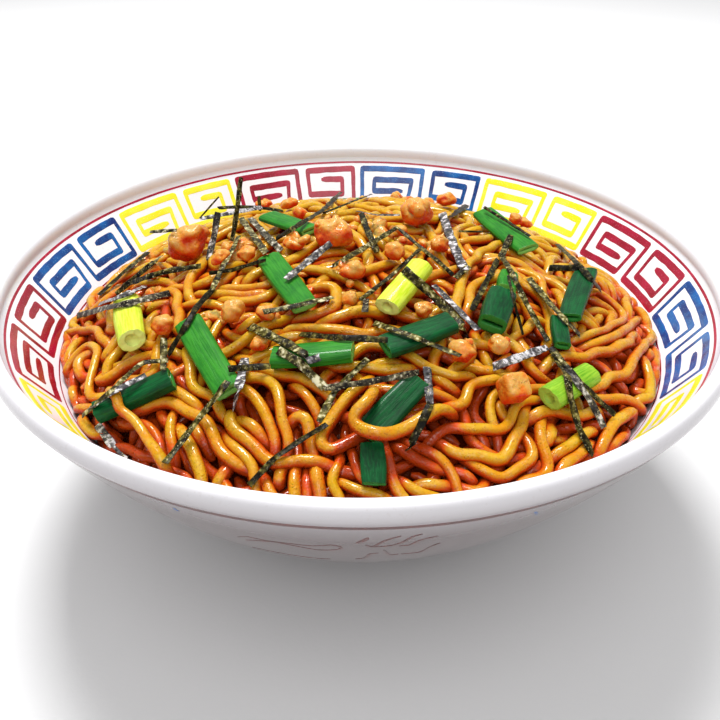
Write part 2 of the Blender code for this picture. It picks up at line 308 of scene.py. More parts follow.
class Nodes:
    """Adds nodes to a tree. An input takes a number, a colour or a Value."""

    def __init__(self, tree):
        self.tree = tree

    def put(self, socket, value):
        """Links a value to an input, or sets the input."""
        if isinstance(value, Value):
            self.tree.links.new(value.socket, socket)
        else:
            socket.default_value = (*value, 1.0) if socket.type == "RGBA" else value

    def add(self, kind, inputs=None, output=0, **settings):
        """A new node with its settings and inputs, as one of its outputs."""
        node = self.tree.nodes.new(kind)
        for key, value in settings.items():
            setattr(node, key, value)
        for key, value in (inputs or {}).items():
            self.put(node.inputs[key], value)
        return Value(self, node.outputs[output])

    def maths(self, operation, first, second=0.0):
        """The result of a Math node."""
        return self.add("ShaderNodeMath", {0: first, 1: second}, operation=operation)

    def vector(self, operation, first, second=(0.0, 0.0, 0.0), scale=1.0):
        """The result of a Vector Math node."""
        inputs = {0: first, 1: second, 3: scale}
        return self.add("ShaderNodeVectorMath", inputs, operation=operation)

    def spread(self, value, low, high, first=0.0, last=1.0):
        """The value's range low..high turned into first..last, smoothly and clamped."""
        ends = {"Value": value, "From Min": low, "From Max": high, "To Min": first, "To Max": last}
        return self.add("ShaderNodeMapRange", ends, interpolation_type="SMOOTHSTEP")

    def mixed(self, factor, first, second, blend="MIX"):
        """The colour output of a Mix node."""
        inputs = {0: factor, 6: first, 7: second}
        return self.add("ShaderNodeMix", inputs, 2, data_type="RGBA", blend_type=blend)

    def ramp(self, value, *stops):
        """Colours along a value: (place, colour) for each stop."""
        made = self.add("ShaderNodeValToRGB", {0: value})
        marks = made.socket.node.color_ramp.elements
        while len(marks) < len(stops):
            marks.new(0.5)
        for mark, (place, tint) in zip(marks, stops):
            mark.position = place
            mark.color = (*tint, 1.0)
        return made

    def clouds(self, place, scale, detail, roughness=0.5):
        """The value of a Noise texture, with its Color beside it."""
        inputs = {"Vector": place, "Scale": scale, "Detail": detail, "Roughness": roughness}
        return self.add("ShaderNodeTexNoise", inputs)

    def read(self, name, output="Fac"):
        """A value stored on the mesh, in a material."""
        return self.add("ShaderNodeAttribute", output=output, attribute_name=name)

    def stored(self, name, kind="FLOAT"):
        """A value stored on the mesh, in a Geometry Nodes tree."""
        inputs = {"Name": name}
        return self.add("GeometryNodeInputNamedAttribute", inputs, "Attribute", data_type=kind)

    def seen(self, coordinate, axis):
        """One axis of the Object or Normal coordinates."""
        whole = self.add("ShaderNodeTexCoord", output=coordinate)
        return self.add("ShaderNodeSeparateXYZ", {0: whole}, axis)

    def mottle(self, patch, grain, shift=(0.0, 0.0, 0.0)):
        """Soft patches of this scale, with finer grains as the output Grain."""
        inputs = {"Patch Scale": patch, "Grain Scale": grain, "Shift": shift}
        return self.add("ShaderNodeGroup", inputs, node_tree=mottle_group())

    def film(self, bead, wrinkle, beads):
        """Height of a wet film with beads and wrinkles of these scales."""
        inputs = {"Bead Scale": bead, "Wrinkle Scale": wrinkle, "Beads": beads}
        return self.add("ShaderNodeGroup", inputs, node_tree=wet_group())

    def plain(self, geometry, given):
        """The end of a shape's tree: real geometry in the given material."""
        real = self.add("GeometryNodeRealizeInstances", {"Geometry": geometry})
        inputs = {"Geometry": real, "Material": given["Material"]}
        return {"Geometry": self.add("GeometryNodeSetMaterial", inputs)}


SOCKETS = {float: "Float", int: "Int", bool: "Bool", tuple: "Vector"}


def node_tree(name, kind, **inputs):
    """Turns a function that fills a node tree into one that gives the tree, built once.

    The inputs have their defaults, or None for Geometry and Material. The function returns
    what the tree puts out, by name."""

    def decorate(fill):
        def build():
            tree = bpy.data.node_groups.get(name)
            if tree:
                return tree
            tree = bpy.data.node_groups.new(name, kind)
            for key, default in inputs.items():
                label = key.replace("_", " ")
                socket = "NodeSocket" + SOCKETS.get(type(default), label)
                made = tree.interface.new_socket(label, in_out="INPUT", socket_type=socket)
                if default is not None:
                    made.default_value = default
            nodes = Nodes(tree)
            results = fill(nodes, nodes.add("NodeGroupInput"))
            end = tree.nodes.new("NodeGroupOutput")
            for label, value in results.items():
                socket = "NodeSocket" + ("Geometry" if value.socket.type == "GEOMETRY" else "Float")
                tree.interface.new_socket(label, in_out="OUTPUT", socket_type=socket)
                tree.links.new(value.socket, end.inputs[label])
            return tree

        return build

    return decorate


@node_tree(
    "Mottle", "ShaderNodeTree", Patch_Scale=100.0, Grain_Scale=1200.0, Shift=(0.0, 0.0, 0.0)
)
def mottle_group(n, given):
    """Soft patches and fine grains over a surface, from Object coordinates."""
    place = n.vector("ADD", n.add("ShaderNodeTexCoord", output="Object"), given["Shift"])
    patch = n.clouds(place, given["Patch Scale"], 3.0)
    grain = n.clouds(place, given["Grain Scale"], 1.0)
    return {"Patch": n.spread(patch, 0.30, 0.70), "Grain": n.spread(grain, 0.30, 0.70)}


@node_tree("Wet film", "ShaderNodeTree", Bead_Scale=1500.0, Wrinkle_Scale=500.0, Beads=0.8)
def wet_group(n, given):
    """Height of a wet film: small beads of oil over soft wrinkles."""
    place = n.add("ShaderNodeTexCoord", output="Object")
    inputs = {"Vector": place, "Scale": given["Bead Scale"]}
    beads = n.spread(n.add("ShaderNodeTexVoronoi", inputs, feature="F1"), 0.0, 0.42, 1.0, 0.0)
    chosen = beads * n.spread(n.clouds(place, 260.0, 1.0), 0.52, 0.62)
    wrinkle = n.clouds(place, given["Wrinkle Scale"], 3.0, 0.6)
    return {"Height": chosen * given["Beads"] + wrinkle}


# ---------------------------------------------------------------- materials


class Finish(Nodes):
    """The nodes of a new material whose Principled shader has these fixed values."""

    def __init__(self, name, **fixed):
        self.material = bpy.data.materials.new(name)
        self.material.use_nodes = True
        super().__init__(self.material.node_tree)
        self.shader = self.tree.nodes["Principled BSDF"]
        self.feed(fixed)

    def feed(self, values):
        """Sets or links inputs of the shader."""
        for key, value in values.items():
            self.put(self.shader.inputs[key.replace("_", " ")], value)

    def done(self, tint, height, strength, distance, **more):
        """The material with its colour, its relief from a height, and more that varies."""
        inputs = {"Height": height, "Strength": strength, "Distance": distance}
        self.feed({"Base Color": tint, "Normal": self.add("ShaderNodeBump", inputs), **more})
        return self.material


def scaled(tint, share):
    """A lighter or darker tint."""
    return [c * share for c in tint]


def glaze_material(settings):
    """White porcelain glaze with faint grey clouds and pin marks, a bluer white on the lip as
    painted light, and painted shade on the outer wall.
    """
    m = Finish("Porcelain glaze", Roughness=0.12, IOR=1.38, Coat_Weight=0.1, Coat_Roughness=0.04)
    spots = m.mottle(patch=45.0, grain=900.0)
    # Painted light: the lip takes a bluer white that offsets the warm light bounced onto it from
    # the noodles.
    white = m.mixed(m.read("lip"), settings.glaze, (0.86, 0.91, 0.98))
    grey = m.mixed(1.0, white, (0.95, 0.95, 0.95), "MULTIPLY")
    clouded = m.mixed(spots * 0.45, white, grey)
    # Painted shade: the outer wall and the lip's outer half take the dark grey of the outside
    # setting.
    glaze_with_painted_shade = m.mixed(m.read("outside"), clouded, settings.outside)
    speck = m.spread(spots["Grain"], 0.97, 1.0, 0.0, 0.10)
    return m.done(m.mixed(speck, glaze_with_painted_shade, (0.45, 0.38, 0.36)), spots, 0.05, 0.0004)


def enamel_material(name, deep, light, worn, shift=0.0):
    """Overglaze enamel laid on by brush: pooled dark, thin light, and worn specks."""
    m = Finish(name, Roughness=0.2, IOR=1.45, Coat_Weight=0.15, Coat_Roughness=0.08)
    wash = m.mottle(patch=130.0, grain=2600.0, shift=(shift, 0.3, 0.1))
    speck = m.spread(wash["Grain"], 0.975, 1.0, 0.0, 0.45)
    tint = m.mixed(speck, m.mixed(wash, deep, light), worn)
    return m.done(tint, wash["Grain"], 0.12, 0.00004)


def noodle_material(settings):
    """Wheat noodle under brown sauce: amber on up-facing sides, red-brown on sides, undersides and
    in the folds, partly sauce and partly painted shade, with paler tops as a painted highlight; wet
    all over.
    """
    m = Finish(
        "Sauced noodle", IOR=1.2, Coat_Roughness=0.06, Subsurface_Weight=0.22,
        Subsurface_Scale=0.0016, Subsurface_Radius=(1.0, 0.30, 0.06),
    )
    blot = m.mottle(patch=150.0, grain=1300.0)
    thin = m.mottle(patch=270.0, grain=700.0, shift=(0.1, 0.4, 0.2))
    up = m.seen("Normal", "Z")
    # Lighter towards the back of the heap: painted light.
    painted_light_at_back = m.spread(m.seen("Object", "Y"), -0.01, 0.05, 0.0, -0.15)
    # Sides and undersides turn red as painted shade, with the red glow of light passing through the
    # noodle.
    under = m.spread(up, -0.3, 0.9, 0.38, 0.0)
    # Deeper noodles turn red and dark: partly sauce, partly painted shade.
    depth_sauce_and_shade = m.spread(m.read("depth"), 0.02, 0.80, 0.0, 0.76)
    total = (m.read("tone") * 0.16 + (blot * 0.30 + painted_light_at_back) + (under + depth_sauce_and_shade)).clamped()
    amber, red = settings.light, settings.deep
    middle = [0.58 * a + 0.42 * b for a, b in zip(amber, red)]
    # From amber to red, darkest at the end: painted shade on sides, undersides and deep noodles,
    # over the sauce's own red.
    coated = m.ramp(total, (0.12, amber), (0.46, middle), (0.76, red), (1.0, scaled(red, 0.66)))
    # Paler cream on up-facing tops: partly thinner sauce and partly a painted highlight.
    bare = thin * m.spread(up, 0.45, 0.95, 0.0, 0.45) * m.spread(total, 0.1, 0.6, 0.9, 0.0)
    base = m.mixed(bare, coated, (0.58, 0.37, 0.06))
    fleck = m.spread(blot["Grain"], 0.985, 1.0, 0.0, 0.4)
    beaded = m.spread(blot["Grain"], 0.30, 0.62, 0.15, 1.0)
    wet = beaded * m.spread(thin, 0.2, 0.8, 0.30, 1.0) * m.spread(up, 0.1, 0.75, 0.2, 1.0)
    return m.done(
        m.mixed(fleck, base, (0.22, 0.05, 0.008)), m.film(bead=1300.0, wrinkle=560.0, beads=0.6),
        0.8, 0.0006, Roughness=m.spread(blot, 0.0, 1.0, 0.40, 0.26), Coat_Weight=wet,
    )


# Sauce from high to deep, darker the deeper it lies as painted shade: place in the depth, and share
# of the red.
SAUCE_PAINTED_SHADE = ((0.10, 0.55), (0.50, 0.50), (0.95, 0.28))


def sauce_material(settings):
    """Thick sauce: red-orange where it stands high, darker deeper down and nearly black deep
    between the noodles as painted shade.
    """
    m = Finish("Thick sauce", Roughness=0.16, IOR=1.3, Coat_Weight=0.15, Coat_Roughness=0.06)
    red = settings.deep
    low = (m.read("depth") + m.mottle(patch=180.0, grain=900.0) * 0.3).clamped()
    tint = m.ramp(low, *((place, scaled(red, share)) for place, share in SAUCE_PAINTED_SHADE))
    return m.done(tint, m.film(bead=900.0, wrinkle=330.0, beads=0.8), 0.8, 0.0008)


def onion_material(name, leaf, streak, cut):
    """Leaf of green onion: streaks along it, and a pale wet cut."""
    m = Finish(
        name, Roughness=0.42, IOR=1.18, Coat_Weight=0.22, Coat_Roughness=0.06,
        Subsurface_Weight=0.06, Subsurface_Scale=0.001,
    )
    line = m.spread(m.clouds(m.read("fibre", "Vector"), 1.0, 3.0), 0.38, 0.62)
    blot = m.mottle(patch=160.0, grain=1500.0)
    base = m.mixed((line + blot) * 0.5, leaf, streak)
    return m.done(
        m.mixed(m.read("cut") * 0.9, base, cut), line + blot["Grain"] * 0.3, 0.25, 0.00025
    )


def meat_material(settings):
    """Minced meat under glaze: paler on knobs and up-facing sides as painted light, orange sauce,
    and red in the hollows, partly sauce and partly painted shade.
    """
    m = Finish(
        "Seasoned meat", Roughness=0.36, IOR=1.26, Coat_Weight=0.2, Coat_Roughness=0.1,
        Subsurface_Weight=0.6, Subsurface_Scale=0.002, Subsurface_Radius=(1.0, 0.35, 0.10),
    )
    # Up-facing sides are drawn paler: painted light.
    top = m.spread(m.seen("Normal", "Z"), -0.35, 0.9, 0.0, 0.55)
    soaked = m.mottle(patch=230.0, grain=1400.0) * -0.28
    total = (top + m.read("knob") * 0.60 + soaked).clamped()
    tint = m.ramp(
        total, (0.06, (0.58, 0.030, 0.003)), (0.32, (0.64, 0.12, 0.006)),
        (0.58, settings.meat), (0.92, (0.56, 0.30, 0.065)),
    )
    return m.done(tint, m.film(bead=1100.0, wrinkle=650.0, beads=0.8), 0.9, 0.0006)


def seaweed_material():
    """Dried laver: near black olive with painted gold glints, or a painted grey-violet and silver
    sheen.
    """
    m = Finish("Dried seaweed", Roughness=0.38, IOR=1.18)
    blot = m.mottle(patch=330.0, grain=1300.0)
    fine = m.mottle(patch=800.0, grain=2700.0, shift=(0.2, 0.1, 0.0))
    tone = m.read("tone")
    # How light each shred is drawn from its tone: mostly painted sheen, silver at the top.
    stops = ((0.0, 0.26), (0.5, 0.58), (0.7, 0.66), (0.97, 0.95))
    level = m.ramp(tone, *((place, (light,) * 3) for place, light in stops))
    patchy = (blot + fine) * 0.5
    vein = m.spread(m.maths("ABSOLUTE", fine - 0.5), 0.02, 0.14, 1.0, 0.0)
    lit = ((patchy - 0.5) * 1.1 + level).clamped()
    olive = m.ramp(
        lit, (0.08, (0.002, 0.0014, 0.0003)), (0.38, (0.012, 0.009, 0.0014)),
        (0.62, (0.060, 0.049, 0.008)), (0.82, (0.20, 0.17, 0.045)), (1.0, (0.56, 0.52, 0.30)),
    )
    grey = m.ramp(
        lit, (0.2, (0.006, 0.005, 0.005)), (0.60, (0.042, 0.038, 0.046)),
        (0.84, (0.15, 0.14, 0.145)), (1.0, (0.56, 0.54, 0.56)),
    )
    base = m.mixed(m.spread(tone, 0.5, 0.72), olive, grey)
    glint = m.spread(fine["Grain"] * blot["Grain"], 0.6, 0.9, 0.0, 0.8)
    # Painted glints over the olive or the grey.
    glinted = m.mixed(glint * m.spread(tone, 0.0, 0.5, 0.2, 1.0), base, (0.50, 0.45, 0.26))
    creased = vein * m.spread(tone, 0.6, 0.9, 0.15, 0.85)
    return m.done(m.mixed(creased, glinted, (0.030, 0.032, 0.012)), patchy, 0.5, 0.0003)


def floor_material(settings):
    """A matt pale table top with a very faint tooth."""
    m = Finish("Pale table", Roughness=0.7)
    blot = m.mottle(patch=6.0, grain=700.0)
    tint = m.mixed(blot * 0.15, settings.floor, scaled(settings.floor, 0.97))
    return m.done(tint, blot["Grain"], 0.05, 0.0002)


# ---------------------------------------------------------------- geometry trees


@node_tree(
    "Sweep bars", "GeometryNodeTree", Geometry=None, Sides=10, Squareness=2.6, Flatness=1.0,
    Crinkle=0.0, Crinkle_Scale=300.0, Upright=False, Material=None,
)
def sweep_bars(n, given):
    """Sweeps a rounded bar along every edge path: noodles and seaweed shreds."""
    inputs = {"Resolution": given["Sides"], "Radius": 1.0}
    ring = n.add("GeometryNodeCurvePrimitiveCircle", inputs)
    place = n.add("GeometryNodeInputPosition")
    parts = n.add("ShaderNodeSeparateXYZ", {0: place})
    square = given["Squareness"]
    wide, high = (n.maths("POWER", n.maths("ABSOLUTE", parts[axis]), square) for axis in "XY")
    pull = n.maths("POWER", wide + high, n.maths("DIVIDE", -1.0, square))
    inputs = {0: parts["X"] * pull, 1: parts["Y"] * pull * given["Flatness"]}
    shaped = n.add("ShaderNodeCombineXYZ", inputs)
    profile = n.add("GeometryNodeSetPosition", {"Geometry": ring, "Position": shaped})
    path = n.add("GeometryNodeMeshToCurve", {"Mesh": given["Geometry"]})
    inputs = {"Curve": path, "Selection": given["Upright"]}
    path = n.add("GeometryNodeSetCurveNormal", inputs, mode="Z_UP")
    thick = n.stored("thick")
    path = n.add("GeometryNodeSetCurveRadius", {"Curve": path, "Radius": thick})
    path = n.add("GeometryNodeSetCurveTilt", {"Curve": path, "Tilt": n.stored("twist")})
    inputs = {"Curve": path, "Profile Curve": profile, "Scale": thick, "Fill Caps": True}
    swept = n.add("GeometryNodeCurveToMesh", inputs)
    wave = n.clouds(place, given["Crinkle Scale"], 1.0)
    push = n.vector("SUBTRACT", wave["Color"], (0.5, 0.5, 0.5))
    push = n.vector("SCALE", push, scale=given["Crinkle"])
    crinkled = n.add("GeometryNodeSetPosition", {"Geometry": swept, "Offset": push})
    return n.plain(n.add("GeometryNodeSetShadeSmooth", {"Geometry": crinkled}), given)


@node_tree("Copies round the bowl", "GeometryNodeTree", Geometry=None, Count=4, Material=None)
def copies_round(n, given):
    """Repeats the piece round the upright axis."""
    points = n.add("GeometryNodePoints", {"Count": given["Count"], "Position": (0.0, 0.0, 0.0)})
    angle = n.maths("DIVIDE", n.add("GeometryNodeInputIndex") * -TURN, given["Count"])
    turn = n.add("ShaderNodeCombineXYZ", {2: angle})
    inputs = {"Points": points, "Instance": given["Geometry"], "Rotation": turn}
    return n.plain(n.add("GeometryNodeInstanceOnPoints", inputs), given)


@node_tree(
    "Scattered crumbs", "GeometryNodeTree", Geometry=None, Detail=8, Roundness=0.80,
    Knob_Scale=280.0, Knob_Height=0.0016, Material=None,
)
def scattered_crumbs(n, given):
    """A knobbly crumb on every point, each with its own size and turn."""
    inputs = {f"Vertices {axis}": given["Detail"] for axis in "XYZ"}
    cube = n.add("GeometryNodeMeshCube", {"Size": (1.8, 1.8, 1.8), **inputs})
    corner = n.add("GeometryNodeInputPosition")
    inward = n.vector("SUBTRACT", n.vector("NORMALIZE", corner), corner)
    rounding = n.vector("SCALE", inward, scale=given["Roundness"])
    ball = n.add("GeometryNodeSetPosition", {"Geometry": cube, "Offset": rounding})
    inputs = {"Points": given["Geometry"], "Instance": ball}
    inputs |= {"Rotation": n.stored("turn", "FLOAT_VECTOR")}
    inputs |= {"Scale": n.stored("size", "FLOAT_VECTOR")}
    copies = n.add("GeometryNodeInstanceOnPoints", inputs)
    real = n.add("GeometryNodeRealizeInstances", {"Geometry": copies})
    wave = n.clouds(n.add("GeometryNodeInputPosition"), given["Knob Scale"], 2.0)
    height = (wave - 0.5) * given["Knob Height"]
    push = n.vector("SCALE", n.add("GeometryNodeInputNormal"), scale=height)
    # The crumb's relief height is stored for the meat's colour: paler crests and redder dips,
    # partly painted light and shade.
    inputs = {"Geometry": real, "Name": "knob", "Value": n.spread(wave, 0.32, 0.66)}
    marked = n.add(
        "GeometryNodeStoreNamedAttribute", inputs, data_type="FLOAT", domain="POINT"
    )
    moved = n.add("GeometryNodeSetPosition", {"Geometry": marked, "Offset": push})
    return n.plain(n.add("GeometryNodeSetShadeSmooth", {"Geometry": moved}), given)


# ---------------------------------------------------------------- bowl


def bezier(corners, count):
    """Points on a cubic curve, both ends included.

    The powers are of plain floats, whose last digit is the same in every run. The noodles
    settle against this curve, and they would pass on a change of its last digit."""
    a, b, c, d = (np.array(corner, float) for corner in corners)
    return np.array([
        a * (1 - t) ** 3 + 3 * b * t * (1 - t) ** 2 + 3 * c * t * t * (1 - t) + d * t**3
        for t in np.linspace(0, 1, count).tolist()
    ])


# The rounded lip, from its inner foot over the top to its outer foot.
LIP_ANGLES = np.radians(np.linspace(205, -20, 22))
LIP = BEAD_MIDDLE + np.c_[np.cos(LIP_ANGLES), np.sin(LIP_ANGLES)] * BEAD_HALF
INNER_LINE = np.vstack([LIP[:3][::-1], bezier(INNER_WALL, 60)])
OUTER_LINE = np.vstack([LIP[-4:], bezier(OUTER_WALL, 60)])
WALL = bezier(INNER_WALL, 80)[::-1] * MM
RED_LINE_RADIUS = 104.3
OUTER_START_RADIUS = 109.4


def wall_radius(z):
    """Inner radius of the bowl at these heights."""
    return np.interp(z, WALL[:, 1], WALL[:, 0])


def along_line(line, start_radius):
    """Distances in mm along a section line, counted from where it has this radius."""
    steps = np.linalg.norm(np.diff(line, axis=0), axis=1)
    run = np.concatenate([[0.0], np.cumsum(steps)])
    return run - np.interp(-start_radius, -line[:, 0], run)


INNER_RUN = along_line(INNER_LINE, RED_LINE_RADIUS)
OUTER_RUN = along_line(OUTER_LINE, OUTER_START_RADIUS)


def on_wall(degrees, run, lift, inside=True):
    """A point in metres on the bowl's wall, lifted off it along its normal."""
    line, runs, side = (INNER_LINE, INNER_RUN, 1) if inside else (OUTER_LINE, OUTER_RUN, -1)
    here, ahead, behind = (
        np.array([np.interp(run + step, runs, line[:, axis]) for axis in (0, 1)])
        for step in (0.0, 0.4, -0.4)
    )
    slope = (ahead - behind) / np.linalg.norm(ahead - behind)
    radius, height = (here + side * lift * np.array([slope[1], -slope[0]])) * MM
    angle = math.radians(degrees)
    return radius * math.cos(angle), radius * math.sin(angle), height


# A brush rounds the outer side of a sharp corner to this share, and each end of a stroke
# starts with these shares of its width.
BRUSH_ROUNDING = 0.68
STROKE_ENDS = (0.45, 0.8, 0.95)


def turning(first, second):
    """How far two flat directions turn: the sine of the angle between them."""
    return first[0] * second[1] - first[1] * second[0]


def stroke_edges(path, halves, step, wobble, seed):
    """Left and right edge of a stroke, in mm, whose legs have their own half widths."""
    path = np.array(path, float)
    legs = np.diff(path, axis=0)
    legs /= np.linalg.norm(legs, axis=1)[:, None]
    normals = np.c_[-legs[:, 1], legs[:, 0]]
    corners = []
    for i, point in enumerate(path):
        before, after = max(i - 1, 0), min(i, len(legs) - 1)
        turn = turning(legs[before], legs[after])
        sides = []
        for side in (1, -1):
            first = point + side * halves[before] * normals[before]
            second = point + side * halves[after] * normals[after]
            if abs(turn) < 0.2:
                sides.append((first + second) / 2)
            else:
                sides.append(first + turning(second - first, legs[after]) / turn * legs[before])
        corners.append(np.array(sides))
    rows = []
    for i, leg in enumerate(legs):
        count = max(2, round(np.linalg.norm(path[i + 1] - path[i]) / step))
        rows += [corners[i] * (1 - j / count) + corners[i + 1] * (j / count) for j in range(count)]
        turn = turning(legs[i - 1], leg) if i else 0.0
        if abs(turn) > 0.5:
            outer = rows[-count][0 if turn < 0 else 1]
            outer[:] = path[i] + BRUSH_ROUNDING * (outer - path[i])
    rows.append(corners[-1])
    shaped = []
    for index, row in enumerate(rows):
        middle = row.mean(0)
        end = min(index, len(rows) - 1 - index)
        narrow = STROKE_ENDS[end] if end < len(STROKE_ENDS) else 1.0
        drift = Vector((*middle, seed * 9.7)) / 3.1
        sway = [noise.noise(drift + Vector((k * 5.3, 0, 0))) * wobble for k in range(4)]
        shaped.append(middle + (row - middle) * narrow + np.reshape(sway, (2, 2)))
    return shaped


def painted_strokes(name, strokes, place, lift, material):
    """Strokes of enamel: each is a low closed ridge whose foot is sunk in the glaze."""
    half = [(1.0, STROKE_FOOT), (1.0, 0.3 * lift), (0.86, lift)]
    profile = [*half, (0.0, 1.15 * lift), *((-share, up) for share, up in half[::-1])]
    points, faces = [], []
    for rows in strokes:
        rings = []
        for left, right in rows:
            middle = (left + right) / 2
            rings.append([place(middle + (left - middle) * share, up) for share, up in profile])
        made, sides = skin(rings)
        faces += [tuple(len(points) + index for index in face) for face in sides]
        points += made
    return closed_piece(name, points, faces, material, smooth=False)


def turned_ring(name, run, half, lift, material, inside=True, steps=360, wobble=0.05):
    """A painted line all the way round the bowl."""
    rings = []
    for x, y, _ in circle(9, 0, steps):
        degrees = 360 * len(rings) / steps
        drift = Vector((x, y, run))
        width = half * (1 + 2.5 * wobble * noise.noise(drift * 1.7))
        middle = run + wobble * noise.noise(drift)
        rows = [(-1.0, STROKE_FOOT), (-1.0, 0.3 * lift), (-0.7, lift)]
        rows += [(-share, up) for share, up in rows[::-1]]
        rings.append([on_wall(degrees, middle + width * share, up, inside) for share, up in rows])
    return closed_piece(name, *skin(rings, loop=True), material, smooth=False)


def rising(row, start, rows):
    """From 0 to 1 over this many rows, and level outside them."""
    return min(1.0, max(0.0, (row - start) / rows))


class MAZESOBA_OT_bowl(bpy.types.Operator):
    """Turn the porcelain bowl from its section"""

    bl_idname = "mazesoba.bowl"
    bl_label = "Bowl"

    def execute(self, context):
        settings = context.scene.mazesoba_bowl
        count = settings.steps
        inner, outer = bezier(INNER_WALL, 44)[::-1], bezier(OUTER_WALL, 40)
        first, *section, last = np.vstack([FLOOR, inner, LIP, outer, FOOT]) * MM
        points, faces = skin([circle(radius, height, count) for radius, height in section])
        del faces[-2:]
        for height, base in ((first[1], 0), (last[1], len(points) - count)):
            pole = len(points)
            points.append((0.0, 0.0, height))
            faces += [(pole, base + step, base + (step + 1) % count) for step in range(count)]
        # Painted shade from the lip's outer half down the outer wall, rising over 13 rows.
        outer_from = len(section) - len(FOOT) - 49
        outside, lip = [], []
        for row in range(len(section)):
            outside += [rising(row, outer_from, 13)] * count
            # The bluer white over the lip's inner side and top, as painted light.
            lip += [rising(row, 43, 2) * (1.0 - rising(row, 52, 6))] * count
        piece = closed_piece(
            "porcelain_bowl", points, faces, glaze_material(settings),
            outside=[*outside, 0.0, 1.0], lip=[*lip, 0.0, 0.0],
        )
        keep(piece, "bowl", slot="bowl_glaze")
        return {"FINISHED"}


class MAZESOBA_OT_border(bpy.types.Operator):
    """Paint the key border and the thin rings on the bowl"""

    bl_idname = "mazesoba.border"
    bl_label = "Painted border"

    def execute(self, context):
        settings = context.scene.mazesoba_bowl
        lift = settings.lift / MM
        unit = math.radians(KEY_UNIT_DEGREES) * KEY_MEAN_RADIUS
        path = np.array(KEY_PATH) * (unit, KEY_BAND[1] - KEY_BAND[0])
        legs = np.abs(np.diff(KEY_PATH, axis=0))
        halves = np.where(legs[:, 0] > legs[:, 1], KEY_BAR_HALF, KEY_LEG_HALF)
        enamels = (
            ("blue", settings.blue, (0.002, 0.12, 0.40), (0.20, 0.42, 0.62)),
            ("yellow", settings.yellow, (0.84, 0.82, 0.05), (0.88, 0.87, 0.50)),
            ("red", settings.red, (0.37, 0.005, 0.035), (0.62, 0.16, 0.24)),
        )
        for order, (name, *tints) in enumerate(enamels):
            first = KEY_FIRST_DEGREES - 30 * order

            def place(point, up, first=first):
                degrees = first - math.degrees(point[0] / KEY_MEAN_RADIUS)
                return on_wall(degrees, KEY_BAND[1] - point[1], up)

            enamel = enamel_material(f"{name.title()} enamel", *tints, 0.1 * (order + 1))
            rows = stroke_edges(path, halves, 1.1, 0.16, order + 1)
            piece = painted_strokes(f"key_border_{name}", [rows], place, lift, enamel)
            keep(through_tree(piece, copies_round(), Count=4, Material=enamel))
        brown = settings.brown
        brown = enamel_material("Brown line", brown, scaled(brown, 1.5), (0.5, 0.25, 0.2))
        for name, run, half, material, inside in (
            ("rim_line_red", 0.0, 0.42, enamel, True),
            ("border_line_red", 19.8, 0.26, enamel, True),
            ("lip_line_brown", 1.0, 0.85, brown, False),
        ):
            keep(turned_ring(name, run, half, 0.6 * lift, material, inside))
        return {"FINISHED"}


# Brush strokes outside, in pixels of the photograph, with their half width in mm.
CLOUD_STROKES_PX = (
    (((238, 537), (250, 537), (262, 540), (285, 543), (312, 546), (333, 545), (342, 548),
     (334, 550), (318, 550)), 0.26),
    (((318, 550), (300, 547), (280, 543), (262, 541), (246, 540)), 0.22),
    (((252, 547), (270, 551), (292, 555), (314, 558), (330, 559)), 0.24),
    (((357, 543), (363, 541), (368, 538)), 0.55),
    (((366, 545), (373, 547), (384, 541), (401, 536)), 0.3),
    (((370, 547), (390, 546), (403, 542), (412, 537), (422, 534)), 0.36),
    (((399, 546), (410, 545), (421, 540), (438, 536)), 0.32),
    (((401, 554), (420, 552), (430, 547), (440, 543)), 0.3),
    (((384, 550), (390, 555), (398, 554)), 0.3),
    (((356, 559), (365, 558), (370, 554), (378, 553)), 0.4),
)
BLUE_SPECKS_PX = (
    ((174, 508), (176, 510), (179, 511)), ((535, 512), (536, 513), (537, 514)),
)
BRUSH_LIFT = 0.06
OUTER_MEAN_RADIUS = 85.0


def on_outer_wall(pixel):
    """Where the ray through a pixel meets the outer wall: (degrees, run along the section)."""
    start, way = view_ray(pixel)
    points = start + np.linspace(0.10, 0.30, 2400)[:, None] * way
    away = np.hypot(points[:, 0], points[:, 1])
    side = OUTER_LINE[::-1] * MM
    within = away < np.interp(points[:, 2], side[:, 1], side[:, 0])
    spot = points[np.argmax(within & (points[:, 2] < OUTER_WALL[0][1] * MM))]
    run = np.interp(-spot[2] / MM, -OUTER_LINE[:, 1], OUTER_RUN)
    return math.degrees(math.atan2(spot[1], spot[0])), run


class MAZESOBA_OT_brushwork(bpy.types.Operator):
    """Paint the cloud and flame strokes on the outer wall"""

    bl_idname = "mazesoba.brushwork"
    bl_label = "Brush strokes outside"

    def execute(self, context):
        brown = context.scene.mazesoba_bowl.brown
        brown = enamel_material("Brown brush", brown, scaled(brown, 1.6), (0.5, 0.3, 0.25), 0.7)

        def stroke(route, half, step, seed):
            spots = [on_outer_wall(pixel) for pixel in route]
            flat = [(math.radians(turn) * OUTER_MEAN_RADIUS, run, 0.0) for turn, run in spots]
            path = smooth_path(flat, step)[:, :2]
            return stroke_edges(path, [half] * (len(path) - 1), 0.8, 0.08, seed)

        def place(point, up):
            return on_wall(math.degrees(point[0] / OUTER_MEAN_RADIUS), point[1], up, inside=False)

        specks = [stroke(route, 0.3, 0.6, n + 60) for n, route in enumerate(BLUE_SPECKS_PX)]
        blue = bpy.data.materials["Blue enamel"]
        keep(painted_strokes("brush_specks_blue", specks, place, BRUSH_LIFT, blue))
        clouds = [
            stroke(route, half, 2.2, n + 20) for n, (route, half) in enumerate(CLOUD_STROKES_PX)
        ]
        piece = painted_strokes("brush_strokes_brown", clouds, place, BRUSH_LIFT, brown)
        keep(through_tree(piece, copies_round(), Count=3, Material=brown))
        return {"FINISHED"}


# ---------------------------------------------------------------- heights


